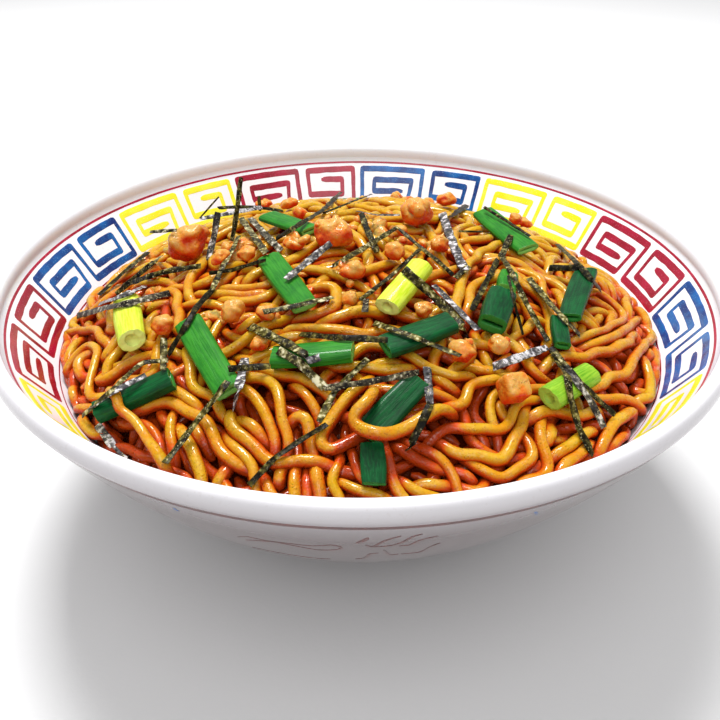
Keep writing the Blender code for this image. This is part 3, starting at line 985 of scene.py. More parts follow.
class Field:
    """Heights in metres on a square grid over the bowl."""

    half, step = 0.1, 0.001
    axis = np.linspace(-half, half, round(2 * half / step) + 1)

    def __init__(self, z):
        self.z = z

    @classmethod
    def of(cls, height):
        """The heights that a function gives for the grid's points."""
        return cls(np.array([[height(x, y) for y in cls.axis] for x in cls.axis]))

    def at(self, x, y):
        """Heights between the grid's points."""
        most = len(self.axis) - 1.001
        u, v = (np.clip((np.asarray(p) + self.half) / self.step, 0, most) for p in (x, y))
        i, j = u.astype(int), v.astype(int)
        a, b = u - i, v - j
        z = self.z
        near = z[i, j] * (1 - a) + z[i + 1, j] * a
        far = z[i, j + 1] * (1 - a) + z[i + 1, j + 1] * a
        return near * (1 - b) + far * b

    def moved(self, reach):
        """The heights moved by each step within reach, with the length of the step."""
        span = range(-int(reach / self.step), int(reach / self.step) + 1)
        steps = [(i, j, math.hypot(i, j) * self.step) for i in span for j in span]
        return [(np.roll(self.z, (i, j), (0, 1)), away) for i, j, away in steps if away <= reach]

    def grown(self, reach, sign=1.0):
        """The surface rolled out by a ball of this radius, upwards or downwards."""
        rises = [z + sign * math.sqrt(reach * reach - away * away) for z, away in self.moved(reach)]
        return Field(np.max(rises, 0) if sign > 0 else np.min(rises, 0))

    def canopy(self, reach):
        """The highest ground within reach, evened out over the same reach."""
        high = Field(np.max([z for z, _ in self.moved(reach)], 0))
        near = np.array([z for z, _ in high.moved(reach)])
        return Field(near.sum(0) / np.maximum(1, (near > 0).sum(0)))


def field_of(tree, miss, below=False):
    """A search tree's surface seen from above, or from below."""
    start, way = (-1.0, 1.0) if below else (1.0, -1.0)

    def height(x, y):
        hit = tree.ray_cast(Vector((x, y, start)), Vector((0, 0, way)))[0]
        return hit.z if hit else miss

    return Field.of(height)


def seen_surface():
    """Heights of everything built so far, seen from above."""
    graph = bpy.context.evaluated_depsgraph_get()
    cast = bpy.context.scene.ray_cast

    def height(x, y):
        found, place, *_ = cast(graph, Vector((x, y, 1.0)), Vector((0, 0, -1)))
        return place.z if found else 0.0

    return Field.of(height)


def tree_of(names):
    """One search tree through the meshes of these CAD nodes."""
    points, faces = [], []
    for name in names:
        base = len(points)
        mesh = NODES[name].data
        points += [vertex.co.copy() for vertex in mesh.vertices]
        faces += [tuple(base + v for v in face.vertices) for face in mesh.polygons]
    return BVHTree.FromPolygons(points, faces)


MEATS = sorted(name for name in NODES if name.startswith("meat_"))
ONIONS = sorted(name for name in NODES if name.startswith("onion_"))
OUTLINE = field_of(tree_of(["noodle_heap"]), 0.0)


def view_ray(pixel):
    """Start and direction of the camera's ray through a pixel of the photograph."""
    dip = math.radians(CAMERA_DIP)
    forward = np.array([0.0, math.cos(dip), -math.sin(dip)])
    upward = np.array([0.0, math.sin(dip), math.cos(dip)])
    across = (pixel[0] - PHOTO_SIDE / 2) / CAMERA_FOCAL_PIXELS
    up = (PHOTO_SIDE / 2 - pixel[1]) / CAMERA_FOCAL_PIXELS
    way = forward + across * np.array([1.0, 0.0, 0.0]) + up * upward
    return np.array(CAMERA_PLACE), way / np.linalg.norm(way)


def on_surface(pixel, field, sink):
    """Where the ray through a pixel meets a field of heights lowered by sink."""
    start, way = view_ray(pixel)
    points = start + np.linspace(0.12, 0.42, 1200)[:, None] * way
    below = points[:, 2] < field.at(points[:, 0], points[:, 1]) - sink
    return points[np.argmax(below)] if below.any() else points[-1]


def runs_of(points):
    """Distances along a line of points, from its start."""
    steps = np.linalg.norm(np.diff(points, axis=0), axis=1)
    return np.concatenate([[0], np.cumsum(steps)])


def smooth_path(points, spacing):
    """A rounded line through the points, with points at an even spacing."""
    points = np.array(points, float)
    padded = np.vstack([2 * points[0] - points[1], points, 2 * points[-1] - points[-2]])
    fine = []
    for a, b, c, d in zip(padded, padded[1:], padded[2:], padded[3:]):
        for t in np.linspace(0, 1, 12, endpoint=False):
            square, cube = 2 * a - 5 * b + 4 * c - d, 3 * b - 3 * c + d - a
            fine.append(0.5 * (2 * b + (c - a) * t + square * t**2 + cube * t**3))
    fine = np.array([*fine, points[-1]])
    run = runs_of(fine)
    even = np.linspace(0, run[-1], max(3, int(round(run[-1] / spacing)) + 1))
    return np.c_[[np.interp(even, run, fine[:, axis]) for axis in range(3)]].T


# ---------------------------------------------------------------- noodles

# Middle lines of the noodles that lie on top, in pixels of the photograph.
TOP_NOODLES_PX = (
    ((62, 352), (61, 365), (64, 384), (70, 395)),
    ((75, 351), (72, 365), (72, 382), (70, 390), (75, 400), (87, 395), (100, 397)),
    ((86, 354), (92, 346), (100, 346), (104, 355), (100, 367), (97, 376), (106, 385), (115, 392)),
    ((67, 339), (75, 332), (88, 331), (107, 337)),
    ((130, 360), (138, 354), (150, 349), (160, 350)),
    ((142, 404), (156, 401), (172, 404), (187, 411), (200, 416), (207, 422), (212, 437), (225, 450),
     (237, 460), (250, 467)),
    ((117, 400), (117, 410), (125, 420), (137, 430), (145, 440), (150, 450), (156, 460)),
    ((140, 422), (150, 430), (157, 439), (167, 449), (170, 456)),
    ((121, 444), (130, 452), (147, 451)),
    ((172, 417), (170, 436), (172, 450)),
    ((175, 426), (182, 436), (187, 449), (197, 465), (200, 479)),
    ((191, 359), (195, 371), (202, 382), (212, 395), (222, 405), (231, 417), (245, 426),
     (250, 430)),
    ((162, 390), (181, 389), (191, 390), (197, 400), (197, 410)),
    ((66, 415), (75, 425), (87, 434), (100, 434)),
    ((240, 422), (252, 436), (265, 446), (277, 451), (290, 456), (305, 461), (320, 462),
     (330, 465)),
    ((356, 386), (352, 392), (346, 405), (337, 417), (327, 427), (320, 436), (322, 446), (335, 452),
     (347, 446), (359, 441)),
    ((372, 402), (367, 415), (359, 425), (350, 430), (352, 436), (362, 442), (377, 446), (396, 442),
     (415, 435), (427, 425), (430, 421)),
    ((242, 380), (250, 395), (260, 405), (267, 417), (274, 430), (276, 442)),
    ((246, 376), (260, 376), (272, 380), (277, 392), (281, 407), (285, 424), (287, 440),
     (285, 449)),
    ((270, 372), (290, 376), (305, 382), (320, 389), (330, 397)),
    ((304, 392), (310, 405), (317, 417), (320, 425)),
    ((289, 424), (292, 416), (300, 414), (309, 417), (314, 430), (315, 442), (317, 455)),
    ((352, 357), (365, 347), (384, 345), (399, 350), (409, 361), (421, 369), (440, 370)),
    ((356, 367), (371, 372), (387, 371), (402, 367)),
    ((390, 450), (389, 462), (395, 480), (405, 492)),
    ((360, 482), (377, 484), (390, 490)),
    ((412, 447), (422, 450), (434, 456), (440, 462)),
    ((286, 462), (284, 480), (287, 495)),
    ((337, 474), (342, 486), (340, 496)),
    ((240, 449), (252, 465), (257, 474), (265, 486)),
    ((411, 490), (427, 487), (440, 487)),
    ((352, 452), (350, 462), (357, 474), (365, 479)),
    ((430, 413), (441, 414), (453, 410), (460, 399), (463, 386), (473, 379), (490, 374),
     (499, 374)),
    ((430, 436), (444, 427), (459, 424), (473, 429), (483, 429), (493, 419), (504, 410),
     (521, 401)),
    ((439, 443), (446, 446), (459, 454), (474, 459), (490, 453), (504, 443), (510, 430),
     (516, 416)),
    ((516, 427), (527, 439), (531, 453), (524, 467), (513, 476), (501, 480), (490, 476),
     (481, 466)),
    ((540, 416), (533, 427), (537, 441), (539, 456), (533, 469), (524, 476)),
    ((541, 414), (553, 410), (567, 409)),
    ((530, 390), (544, 386), (556, 373), (559, 369)),
    ((559, 359), (576, 350), (594, 341), (616, 336)),
    ((587, 377), (607, 376), (623, 373), (631, 363), (627, 353), (630, 343), (641, 337),
     (653, 339)),
    ((601, 399), (616, 396), (633, 399), (646, 406)),
    ((644, 371), (646, 384), (643, 393)),
    ((653, 361), (661, 367), (659, 376), (651, 384), (650, 394)),
    ((544, 457), (559, 449), (570, 439)),
    ((559, 466), (573, 454), (581, 451)),
    ((593, 456), (601, 449), (613, 441)),
    ((594, 441), (604, 430), (616, 421)),
    ((430, 449), (441, 456), (453, 469), (461, 480)),
    ((430, 486), (444, 487), (459, 490)),
    ((320, 287), (330, 286), (339, 292), (342, 302), (339, 311), (327, 315), (315, 315),
     (305, 319)),
    ((309, 271), (327, 274), (346, 280), (359, 289), (362, 294)),
    ((240, 292), (256, 290), (269, 289), (277, 280)),
    ((240, 302), (255, 302), (269, 296)),
    ((370, 305), (390, 310), (402, 315), (421, 320)),
    ((310, 329), (327, 321), (346, 316), (360, 312)),
    ((302, 330), (321, 329), (340, 330), (365, 330), (390, 331)),
    ((365, 201), (380, 204), (396, 207)),
    ((415, 232), (425, 242), (435, 255)),
    ((497, 246), (485, 247), (477, 260), (467, 270), (462, 280), (460, 292), (459, 305)),
    ((467, 297), (471, 287), (480, 281)),
    ((517, 275), (525, 284), (536, 296), (549, 310), (551, 317), (549, 327)),
    ((537, 240), (550, 245), (559, 254), (565, 265)),
    ((520, 225), (536, 230), (549, 239)),
    ((590, 292), (602, 295), (611, 305), (614, 317), (605, 327), (592, 330)),
    ((605, 280), (615, 287), (622, 300), (630, 315)),
    ((597, 337), (610, 334), (622, 327), (630, 326)),
    ((55, 310), (61, 317), (65, 326), (70, 332)),
    ((82, 300), (87, 290), (97, 280), (102, 275)),
    ((177, 292), (182, 290), (184, 305), (187, 315)),
    ((195, 292), (200, 280), (205, 271)),
    ((215, 295), (231, 299), (250, 299)),
)
# The two of them that cross over a topping.
OVER_TOPPING = (6, 16)
# The noodles between and below those: name, count, length, how deep in thicknesses, and how
# much each one fills the place that it covers.
LAYERS = (("mid", 87, 0.085, 0.9, 1.0), ("low", 66, 0.12, 1.7, 0.5))
TRIES = 14
HEAP_RADIUS = 0.088
TURN_BACK_RADIUS = 0.089
CELL = 0.005
CELLS = 40
CORE_DEPTH = 0.0074
SAUCE_DEPTH = 0.0052
CORE_RADIUS = 0.0885
CANOPY_REACH = 0.0031


class Strands:
    """All noodles as rows of points, settled together."""

    def __init__(self, paths, kinds, radius):
        self.kinds = kinds
        self.radius = radius
        self.sizes = [len(path) for path in paths]
        self.starts = np.concatenate([[0], np.cumsum(self.sizes)])[:-1]
        self.p = np.vstack(paths)
        self.strand = np.repeat(np.arange(len(self.sizes)), self.sizes)
        self.order = np.concatenate([np.arange(size) for size in self.sizes])
        last = np.repeat(self.sizes, self.sizes) - 1
        self.tips = np.nonzero(np.minimum(self.order, last - self.order) < 4)[0]
        self.linked = np.nonzero(self.order < last)[0]
        self.inner = np.nonzero((self.order > 0) & (self.order < last))[0]
        self.rest = np.linalg.norm(self.p[self.linked + 1] - self.p[self.linked], axis=1)
        self.over = np.isin(self.strand, OVER_TOPPING)
        self.on_top = np.array([kinds[s] == "top" for s in self.strand])

    def pairs(self, reach):
        """Points of different runs that are nearer than reach."""
        cell = np.floor(self.p / reach).astype(np.int64)
        cell -= cell.min(0) - 1
        size = cell.max(0) + 3
        key = (cell[:, 0] * size[1] + cell[:, 1]) * size[2] + cell[:, 2]
        order = np.argsort(key, kind="stable")
        ranked = key[order]
        found = []
        for dx, dy, dz in itertools.product((-1, 0, 1), repeat=3):
            shift = (dx * size[1] + dy) * size[2] + dz
            if shift < 0:
                continue
            low, high = (np.searchsorted(ranked, key + shift, side) for side in ("left", "right"))
            count = high - low
            a = np.repeat(np.arange(len(key)), count)
            offset = np.arange(count.sum()) - np.repeat(np.cumsum(count) - count, count)
            b = order[np.repeat(low, count) + offset]
            chosen = a < b if shift == 0 else slice(None)
            found.append((a[chosen], b[chosen]))
        a, b = (np.concatenate(side) for side in zip(*found))
        near = (self.strand[a] == self.strand[b]) & (np.abs(self.order[a] - self.order[b]) < 5)
        close = ((self.p[a] - self.p[b]) ** 2).sum(1) < reach * reach
        return a[close & ~near], b[close & ~near]

    def hold_length(self):
        """Keeps neighbours at their first distance."""
        for parity in (0, 1):
            chosen = self.order[self.linked] % 2 == parity
            a, rest = self.linked[chosen], self.rest[chosen]
            gap = self.p[a + 1] - self.p[a]
            far = np.linalg.norm(gap, axis=1)
            fix = 0.5 * gap * ((far - rest) / np.maximum(far, 1e-9))[:, None]
            self.p[a] += fix
            self.p[a + 1] -= fix

    def hold_curve(self, stiffness):
        """Straightens sharp bends a little."""
        middle = 0.5 * (self.p[self.inner - 1] + self.p[self.inner + 1])
        pull = stiffness * (middle - self.p[self.inner])
        self.p[self.inner] += pull
        np.subtract.at(self.p, self.inner - 1, 0.5 * pull)
        np.subtract.at(self.p, self.inner + 1, 0.5 * pull)

    def part(self, a, b, strength):
        """Pushes overlapping points apart."""
        gap = self.p[b] - self.p[a]
        far = np.linalg.norm(gap, axis=1)
        over = 2 * self.radius - far
        hit = over > 0
        a, b, gap, far, over = a[hit], b[hit], gap[hit], far[hit], over[hit]
        push = (0.5 * strength * over / np.maximum(far, 1e-6))[:, None] * gap
        total = np.zeros_like(self.p)
        count = np.zeros(len(self.p))
        for index, sign in ((a, -1.0), (b, 1.0)):
            for axis in range(3):
                total[:, axis] += np.bincount(index, sign * push[:, axis], len(self.p))
            count += np.bincount(index, minlength=len(self.p))
        self.p += total / np.maximum(1.0, 0.45 * count)[:, None]

    def bound(self, floor, roof, low_roof, low_floor):
        """Keeps all points between the core, the wall, the toppings and the outline."""
        x, y = self.p[:, 0], self.p[:, 1]
        bottom = floor.at(x, y) + self.radius
        top = roof.at(x, y)
        top = np.where(self.over, top + 0.012, np.minimum(top, low_roof.at(x, y)))
        bottom = np.where(self.over, np.maximum(bottom, low_floor.at(x, y)), bottom)
        self.p[:, 2] = np.maximum(np.minimum(self.p[:, 2], top), bottom)
        away = np.hypot(x, y)
        most = wall_radius(self.p[:, 2]) - 1.12 * self.radius
        self.p[:, :2] *= np.minimum(1.0, most / np.maximum(away, 1e-9))[:, None]


def wander(rng, start, heading, run, spacing, bend, wave):
    """A wavy path over the heap that turns back at the wall."""
    points = [np.array(start)]
    phase = rng.uniform(0, TURN)
    drift = rng.uniform(-1, 1) * 6
    for index in range(int(run / spacing)):
        way = heading + bend * math.sin(TURN * index * spacing / wave + phase)
        after = points[-1] + np.array([math.cos(way), math.sin(way)]) * spacing
        away = np.linalg.norm(after)
        if away > TURN_BACK_RADIUS:
            after *= TURN_BACK_RADIUS / away
            side = after[0] * math.sin(heading) - after[1] * math.cos(heading)
            heading += 0.09 if side > 0 else -0.09
        heading += drift * spacing * 0.35
        if index % 24 == 0:
            drift = rng.uniform(-1, 1) * 9
        points.append(after)
    return np.array(points)


def cells_of(path):
    """The coarse cells of the cover that a path runs through."""
    cells = np.clip(((path[:, :2] + Field.half) / CELL).astype(int), 0, CELLS - 1)
    return cells[:, 0], cells[:, 1]


def photo_strand(route, over, covered, radius, spacing):
    """A noodle along its line in the photograph, its two ends led on and down."""
    ground, sink = (covered, -radius) if over else (OUTLINE, radius)
    path = smooth_path([on_surface(pixel, ground, sink) for pixel in route], spacing)
    ends = []
    for first, second in ((path[0], path[4]), (path[-1], path[-5])):
        way = first - second
        way /= np.linalg.norm(way)
        ends.append([first + way * 0.004 * k + (0, 0, -0.0015 * k * k) for k in (1, 2, 3)])
    return smooth_path(np.vstack([ends[0][::-1], path[::3], ends[1]]), spacing)


def laid_strands(settings, rng, toppings):
    """Noodles on top along the photograph's lines, and others where there are fewest."""
    thick, spacing = settings.thickness, settings.spacing
    radius = thick / 2
    cover = np.zeros((CELLS, CELLS))
    covered = Field(np.maximum(OUTLINE.z, toppings.z))
    paths, kinds = [], []

    def lay(path, kind, weight=1.0):
        paths.append(path)
        kinds.append(kind)
        np.add.at(cover, cells_of(path), weight)

    for index, route in enumerate(TOP_NOODLES_PX):
        lay(photo_strand(route, index in OVER_TOPPING, covered, radius, spacing), "top")
    for kind, count, run, depth, weight in LAYERS:
        for _ in range(count):
            options = []
            for _ in range(TRIES):
                start = rng.normal(0, 0.045, 2)
                if np.linalg.norm(start) > HEAP_RADIUS:
                    start *= HEAP_RADIUS / np.linalg.norm(start)
                heading = rng.uniform(0, TURN)
                bend, wave = rng.uniform(0.5, 1.1), rng.uniform(0.03, 0.055)
                options.append(wander(rng, start, heading, run, spacing, bend, wave))
            flat = min(options, key=lambda path: cover[cells_of(path)].mean())
            along = np.arange(len(flat)) * spacing
            phase = rng.uniform(0, 6.28, 2)
            sway = 0.5 * np.sin(along / 0.011 + phase[0]) + 0.4 * np.sin(along / 0.023 + phase[1])
            height = OUTLINE.at(flat[:, 0], flat[:, 1]) - radius - thick * (depth + sway * 0.8)
            lay(np.c_[flat, height], kind, weight)
    return Strands(paths, kinds, radius * 0.98)


def settled_strands(settings, rng):
    """The noodles, settled so that they lie on each other and not in each other."""
    radius = settings.thickness / 2
    tree = tree_of(sorted(ONIONS + MEATS))
    toppings = field_of(tree, 0.0)
    strands = laid_strands(settings, rng, toppings)
    on_top, target = strands.on_top, strands.p.copy()
    limits = (
        Field(OUTLINE.z - CORE_DEPTH), Field(OUTLINE.z - radius + 0.0006),
        field_of(tree, 1.0, below=True).grown(radius, -1.0), toppings.grown(radius),
    )
    rounds = settings.rounds
    for turn in range(rounds):
        strands.p[:, 2] -= 0.00004
        pull = 0.10 * (1 - turn / rounds)
        strands.p[on_top, :2] += pull * (target[on_top, :2] - strands.p[on_top, :2])
        strands.p[on_top, 2] += 0.00006 * (strands.order[on_top] > 8)
        strands.p[strands.tips, 2] -= 0.00016
        strands.hold_curve(0.24)
        strands.hold_length()
        if turn % 5 == 0:
            a, b = strands.pairs(2 * radius + 0.0008)
        strands.part(a, b, 0.9)
        strands.bound(*limits)
    for _ in range(6):
        strands.hold_curve(0.12)
        strands.part(a, b, 1.0)
        strands.bound(*limits)
    return strands


def noodle_paths(name, strands, chosen, spacing, rng):
    """The chosen strands as edge paths with thickness, twist and tone."""
    paths, thick, twist, tone = [], [], [], []
    for index in chosen:
        start = strands.starts[index]
        path = strands.p[start:start + strands.sizes[index]].copy()
        for _ in range(6):
            path[1:-1] = 0.25 * path[:-2] + 0.5 * path[1:-1] + 0.25 * path[2:]
        path = smooth_path(path, spacing)
        steps = np.arange(len(path))
        run = steps * spacing
        swing = rng.uniform(0, 6.28, 3)
        size = 1 + 0.05 * np.sin(run / 0.006 + swing[0]) + rng.uniform(-0.14, 0.08)
        size *= np.interp(np.minimum(steps, steps[::-1]), (0, 1, 2), (0.45, 0.85, 1.0))
        paths.append(path)
        thick.append(1.02 * strands.radius * size)
        twist.append(1.4 * np.sin(run / 0.02 + swing[1]) + swing[2])
        tone.append(np.full(len(path), rng.uniform(0, 1)))
    return paths_piece(name, paths, thick=thick, twist=twist, tone=tone)


class MAZESOBA_OT_noodles(bpy.types.Operator):
    """Lay and settle the noodles over a core of dark sauce"""

    bl_idname = "mazesoba.noodles"
    bl_label = "Noodles"

    def execute(self, context):
        settings = context.scene.mazesoba_noodles
        rng = np.random.default_rng(settings.seed)
        strands = settled_strands(settings, rng)
        material = noodle_material(settings)
        canopy = None
        for name, kinds, sides, spacing, nodes in (
            ("noodles_upper", ("top", "mid"), 10, 0.0012, ("noodle_heap",)),
            ("noodles_lower", ("low",), 8, 0.0016, ()),
        ):
            chosen = [i for i, kind in enumerate(strands.kinds) if kind in kinds]
            piece = noodle_paths(name, strands, chosen, spacing, rng)
            shape = {"Sides": sides, "Squareness": 2.7, "Flatness": 0.94}
            through_tree(piece, sweep_bars(), **shape, Material=material)
            if canopy is None:
                graph = bpy.context.evaluated_depsgraph_get()
                seen = field_of(BVHTree.FromObject(piece, graph), 0.0)
                canopy = seen.canopy(CANOPY_REACH)
            # How far below the heap's top each point lies; the material reddens and darkens it,
            # partly as sauce and partly as painted shade.
            x, y, z = np.array([tuple(vertex.co) for vertex in piece.data.vertices]).T
            add_values(piece.data, depth=np.clip((canopy.at(x, y) - z) / 0.006, 0, 1))
            keep(piece, *nodes, slot="sauced_noodles")
        self.core(settings)
        return {"FINISHED"}

    def core(self, settings):
        """The smaller body of thick sauce under the noodles, high at the back, low in front."""
        count = 180
        rings, depths = [], []
        for share in np.linspace(0.02, 1, 60):
            ring = []
            for x, y, _ in circle(share * CORE_RADIUS, 0, count):
                swell = noise.noise(Vector((x, y, 0.0)) / 0.009)
                swell += 0.5 * noise.noise(Vector((x, y, 0.1)) / 0.004)
                back = rising(y, -0.050, 0.050)
                rise = (SAUCE_DEPTH - CORE_DEPTH) * back * back * (3 - 2 * back)
                depth = CORE_DEPTH + rise - 0.0009 * swell
                ring.append((x, y, float(OUTLINE.at(x, y)) - depth - 0.004 * share**8))
                # How deep the sauce lies, which the material draws darker as painted shade.
                depths.append(rising(depth, 0.002, 0.006))
            rings.append(ring)
        for height in np.linspace(0.046, 0.0165, 9):
            rings.append(circle(float(wall_radius(height)) - 0.0008, height, count))
            # The rings down the wall are drawn darkest: painted shade.
            depths += [1.0] * count
        material = sauce_material(settings)
        keep(closed_piece("sauce_core", *skin(rings), material, depth=depths))


# ---------------------------------------------------------------- toppings


def bare_points(name):
    """A CAD node's separate points."""
    return np.unique(np.round([tuple(v.co) for v in NODES[name].data.vertices], 6), axis=0)


def own_axes(points):
    """Middle, axes (long, wide, thin) and half sizes of a cloud of points."""
    middle = points.mean(0)
    _, vectors = np.linalg.eigh(np.cov((points - middle).T))
    long, thin = vectors[:, 2], vectors[:, 0]
    thin = thin if thin[2] > 0 else -thin
    axes = np.array([long, np.cross(thin, long), thin])
    reach = (points - middle) @ axes.T
    middle = middle + 0.5 * (reach.max(0) + reach.min(0)) @ axes
    return middle, axes, 0.5 * np.ptp(reach, axis=0)


ONION_SIDES = 28
ONION_STATIONS = 22
# How each kind is cut: wall in metres, squareness of its section, and how open its slit is
# and how deep its hollow, both in shares.
ONION_KINDS = {
    "pale": (0.0021, 2.2, 0.62, 0.08),
    "green": (0.0009, 3.4, 0.16, 0.8),
    "dark": (0.0009, 3.6, 0.20, 1.0),
}
# Inside a cut end: depth in metres and how pale the cut is there.
HOLLOW_RINGS = ((0.0052, 0.15), (0.0030, 0.35), (0.0012, 0.6), (0.0003, 0.9))
# Leaves that lie turned about their length (radians) or higher (metres) than their node.
TURNED = {
    "onion_strip_back": (-0.75, 0.0010),
    "onion_far_left": (0.0, -0.0022),
    "onion_far_right": (0.0, -0.0022),
}
FRESH_STEM = (0.08, 0.27, 0.006)
GREEN_LEAVES = (
    "long_left", "long_middle", "flat_back", "front_bar", "strip_back", "tip_right", "far_left",
)


def onion_mesh(name, kind, material, seed):
    """A cut length of leaf: a pressed tube with ribs, an open slit and pale cut rims."""
    middle, axes, half = own_axes(bare_points(name))
    rng = random.Random(seed)
    wall, square, open_slit, hollow = ONION_KINDS[kind]
    slant = rng.uniform(-0.10, 0.10)
    sway = [rng.uniform(0, 6.28) for _ in range(4)]
    roll, rise = TURNED.get(name, (0.0, 0.0))
    c, s = math.cos(roll), math.sin(roll)
    long, wide, thin = axes[0], axes[1] * c + axes[2] * s, axes[2] * c - axes[1] * s
    middle = middle + (0.0, 0.0, rise)
    fibres, cuts = [], []

    def ring(share, inset, shift, cut):
        """One ring across the leaf at a share of its length."""
        made = []
        for c, s, _ in circle(1.0, 0.0, ONION_SIDES):
            angle = TURN * len(made) / ONION_SIDES
            pull = (abs(c) ** square + abs(s) ** square) ** (-1 / square)
            rib = 1 + 0.018 * math.sin(9 * angle + sway[0]) + 0.012 * math.sin(17 * angle + sway[1])
            swell = 1 - 0.05 * (2 * share) ** 2 + 0.03 * math.sin(5 * share + sway[2])
            across = (half[1] * rib * swell - inset) * c * pull
            slit = min(1.0, inset / wall)
            up = half[2] * (rib * (1 - slit) + open_slit * slit) * s * pull
            rag = 0.00025 * noise.noise(Vector((9 * c, 9 * s, 7 * share + seed)))
            along = 2 * half[0] * share * 0.97 + shift + slant * across * abs(2 * share) + rag
            bow = 0.04 * half[0] * math.cos(3 * share + sway[3])
            made.append(middle + long * along + wide * (across + bow * 0.3) + thin * up)
            fibres.append((7.5 * c + seed, 7.5 * s, 4.0 * share))
            cuts.append(cut)
        return made

    ends = [(wall, depth * hollow, max(cut, 1 - hollow)) for depth, cut in HOLLOW_RINGS]
    ends += [(0.75 * wall, 0.00004, 1.0), (0.25 * wall, 0.00004, 0.9)]
    rings = [ring(-0.5, inset, shift, cut) for inset, shift, cut in ends]
    for t in np.linspace(-0.5, 0.5, ONION_STATIONS):
        rings.append(ring(0.5 * math.sin(math.pi * t), 0.0, 0.0, 0.55 if abs(t) == 0.5 else 0.0))
    rings += [ring(0.5, inset, -shift, cut) for inset, shift, cut in ends[::-1]]
    return closed_piece(f"cut_{name}", *skin(rings), material, fibre=fibres, cut=cuts)


class MAZESOBA_OT_onion(bpy.types.Operator):
    """Cut the green onion pieces"""

    bl_idname = "mazesoba.onion"
    bl_label = "Green onion"

    def execute(self, context):
        settings = context.scene.mazesoba_toppings
        finishes = {
            short: onion_material(name, *tints)
            for short, name, *tints in (
                ("green", "Green leaf", settings.green, (0.03, 0.215, 0.014), (0.22, 0.50, 0.09)),
                ("dark", "Dark leaf", settings.dark, (0.001, 0.085, 0.018), (0.03, 0.22, 0.03)),
                ("pale", "Pale stem", settings.pale, (0.66, 0.75, 0.09), (0.80, 0.88, 0.26)),
                ("fresh", "Fresh stem", FRESH_STEM, (0.27, 0.47, 0.03), (0.36, 0.55, 0.07)),
            )
        }
        for seed, name in enumerate(ONIONS):
            short = name[len("onion_"):]
            kind = "pale" if "pale" in short else "green" if short in GREEN_LEAVES else "dark"
            finish = finishes["fresh" if short == "pale_right" else kind]
            keep(onion_mesh(name, kind, finish, seed), name, slot=f"onion_{kind}")
        return {"FINISHED"}


def chunk_faces(rng, axes=None):
    """Directions and distances of the dull faces that bound a chunk of radius about 1."""
    if axes is not None:
        return [(Vector(a) * side, rng.uniform(0.84, 0.92)) for a in axes for side in (1, -1)]
    made = []
    turn = rng.uniform(0, 6.28)
    for index in range(12):
        z = 1 - 2 * (index + 0.5) / 12 + rng.uniform(-0.08, 0.08)
        flat = math.sqrt(max(0.0, 1 - z * z))
        turn += 2.4 + rng.uniform(-0.5, 0.5)
        way = Vector((flat * math.cos(turn), flat * math.sin(turn), z))
        made.append((way, rng.uniform(0.72, 1.02)))
    return made


def chunk_reach(way, faces):
    """How far the chunk reaches in this direction, its edges rounded."""
    return sum((max(0.0, way.dot(out)) / away) ** 6 for out, away in faces) ** (-1 / 6)


def meat_mesh(name, material, seed):
    """A chunk of mince grown out to the CAD node's surface: grains pressed together."""
    points = bare_points(name)
    middle = Vector(points.mean(0))
    tree = tree_of([name])
    shape = bmesh.new()
    fine = np.ptp(points, axis=0).max() > 0.009
    bmesh.ops.create_icosphere(shape, subdivisions=6 if fine else 5, radius=1.0)
    ways = [v.co.normalized() for v in shape.verts]
    around = [[e.other_vert(v).index for e in v.link_edges] for v in shape.verts]

    def smoothed(numbers, rounds):
        for _ in range(rounds):
            means = [sum(numbers[k] for k in near) / len(near) for near in around]
            numbers = [0.4 * own + 0.6 * mean for own, mean in zip(numbers, means)]
        return numbers

    hits = [tree.ray_cast(middle, way)[0] for way in ways]
    reach = smoothed([(hit - middle).length if hit else 0.003 for hit in hits], 26)
    cube = name == "meat_cube_right"
    faces = chunk_faces(random.Random(seed), own_axes(points)[1] if cube else None)
    if cube:
        reach = [np.mean(reach)] * len(reach)
    rises, values = [], []
    for way, far in zip(ways, reach):
        spot = way * far + Vector((seed * 0.37, 0, 0))
        bulge = noise.noise(way * 1.5 + Vector((seed * 3.1, 0, 0)))
        lump = noise.noise(spot / 0.0045)
        grain = noise.noise(spot / 0.0011)
        body = chunk_reach(way, faces)
        body = body if cube else 0.62 + 0.38 * body + 0.20 * bulge
        rises.append(far * body + (0.0001 if cube else 0.0003) * lump + 0.00014 * grain)
        # Paler on knobs, bulges and up-facing sides, redder in hollows: partly painted light and
        # shade.
        values.append(0.40 + 0.35 * way.z + 0.60 * lump + 0.60 * bulge + 0.12 * grain)
    for vertex, way, rise in zip(shape.verts, ways, smoothed(rises, 3)):
        vertex.co = middle + way * rise
    mesh = bpy.data.meshes.new(f"seasoned_{name}")
    shape.to_mesh(mesh)
    shape.free()
    mesh.shade_smooth()
    mesh.materials.append(material)
    add_values(mesh, knob=np.clip(smoothed(values, 3), 0, 1))
    return linked(mesh)


class MAZESOBA_OT_meat(bpy.types.Operator):
    """Shape the chunks of minced meat"""

    bl_idname = "mazesoba.meat"
    bl_label = "Minced meat"

    def execute(self, context):
        material = meat_material(context.scene.mazesoba_toppings)
        for seed, name in enumerate(MEATS):
            keep(meat_mesh(name, material, seed), name, slot="minced_meat")
        return {"FINISHED"}


# Where loose crumbs of meat lie thickest: pixel of the photograph, reach in mm, how many.
CRUMB_PATCHES_PX = (
    ((185, 245), 15, 26), ((230, 250), 14, 16), ((262, 235), 14, 12), ((330, 225), 16, 22),
    ((300, 250), 12, 10), ((385, 235), 16, 14), ((425, 205), 14, 18), ((440, 250), 10, 8),
    ((215, 318), 10, 9), ((280, 312), 9, 8), ((160, 300), 8, 7), ((470, 348), 9, 10), ((575, 315),
    9, 4), ((350, 290), 8, 5), ((140, 270), 8, 6), ((500, 235), 10, 6),
)


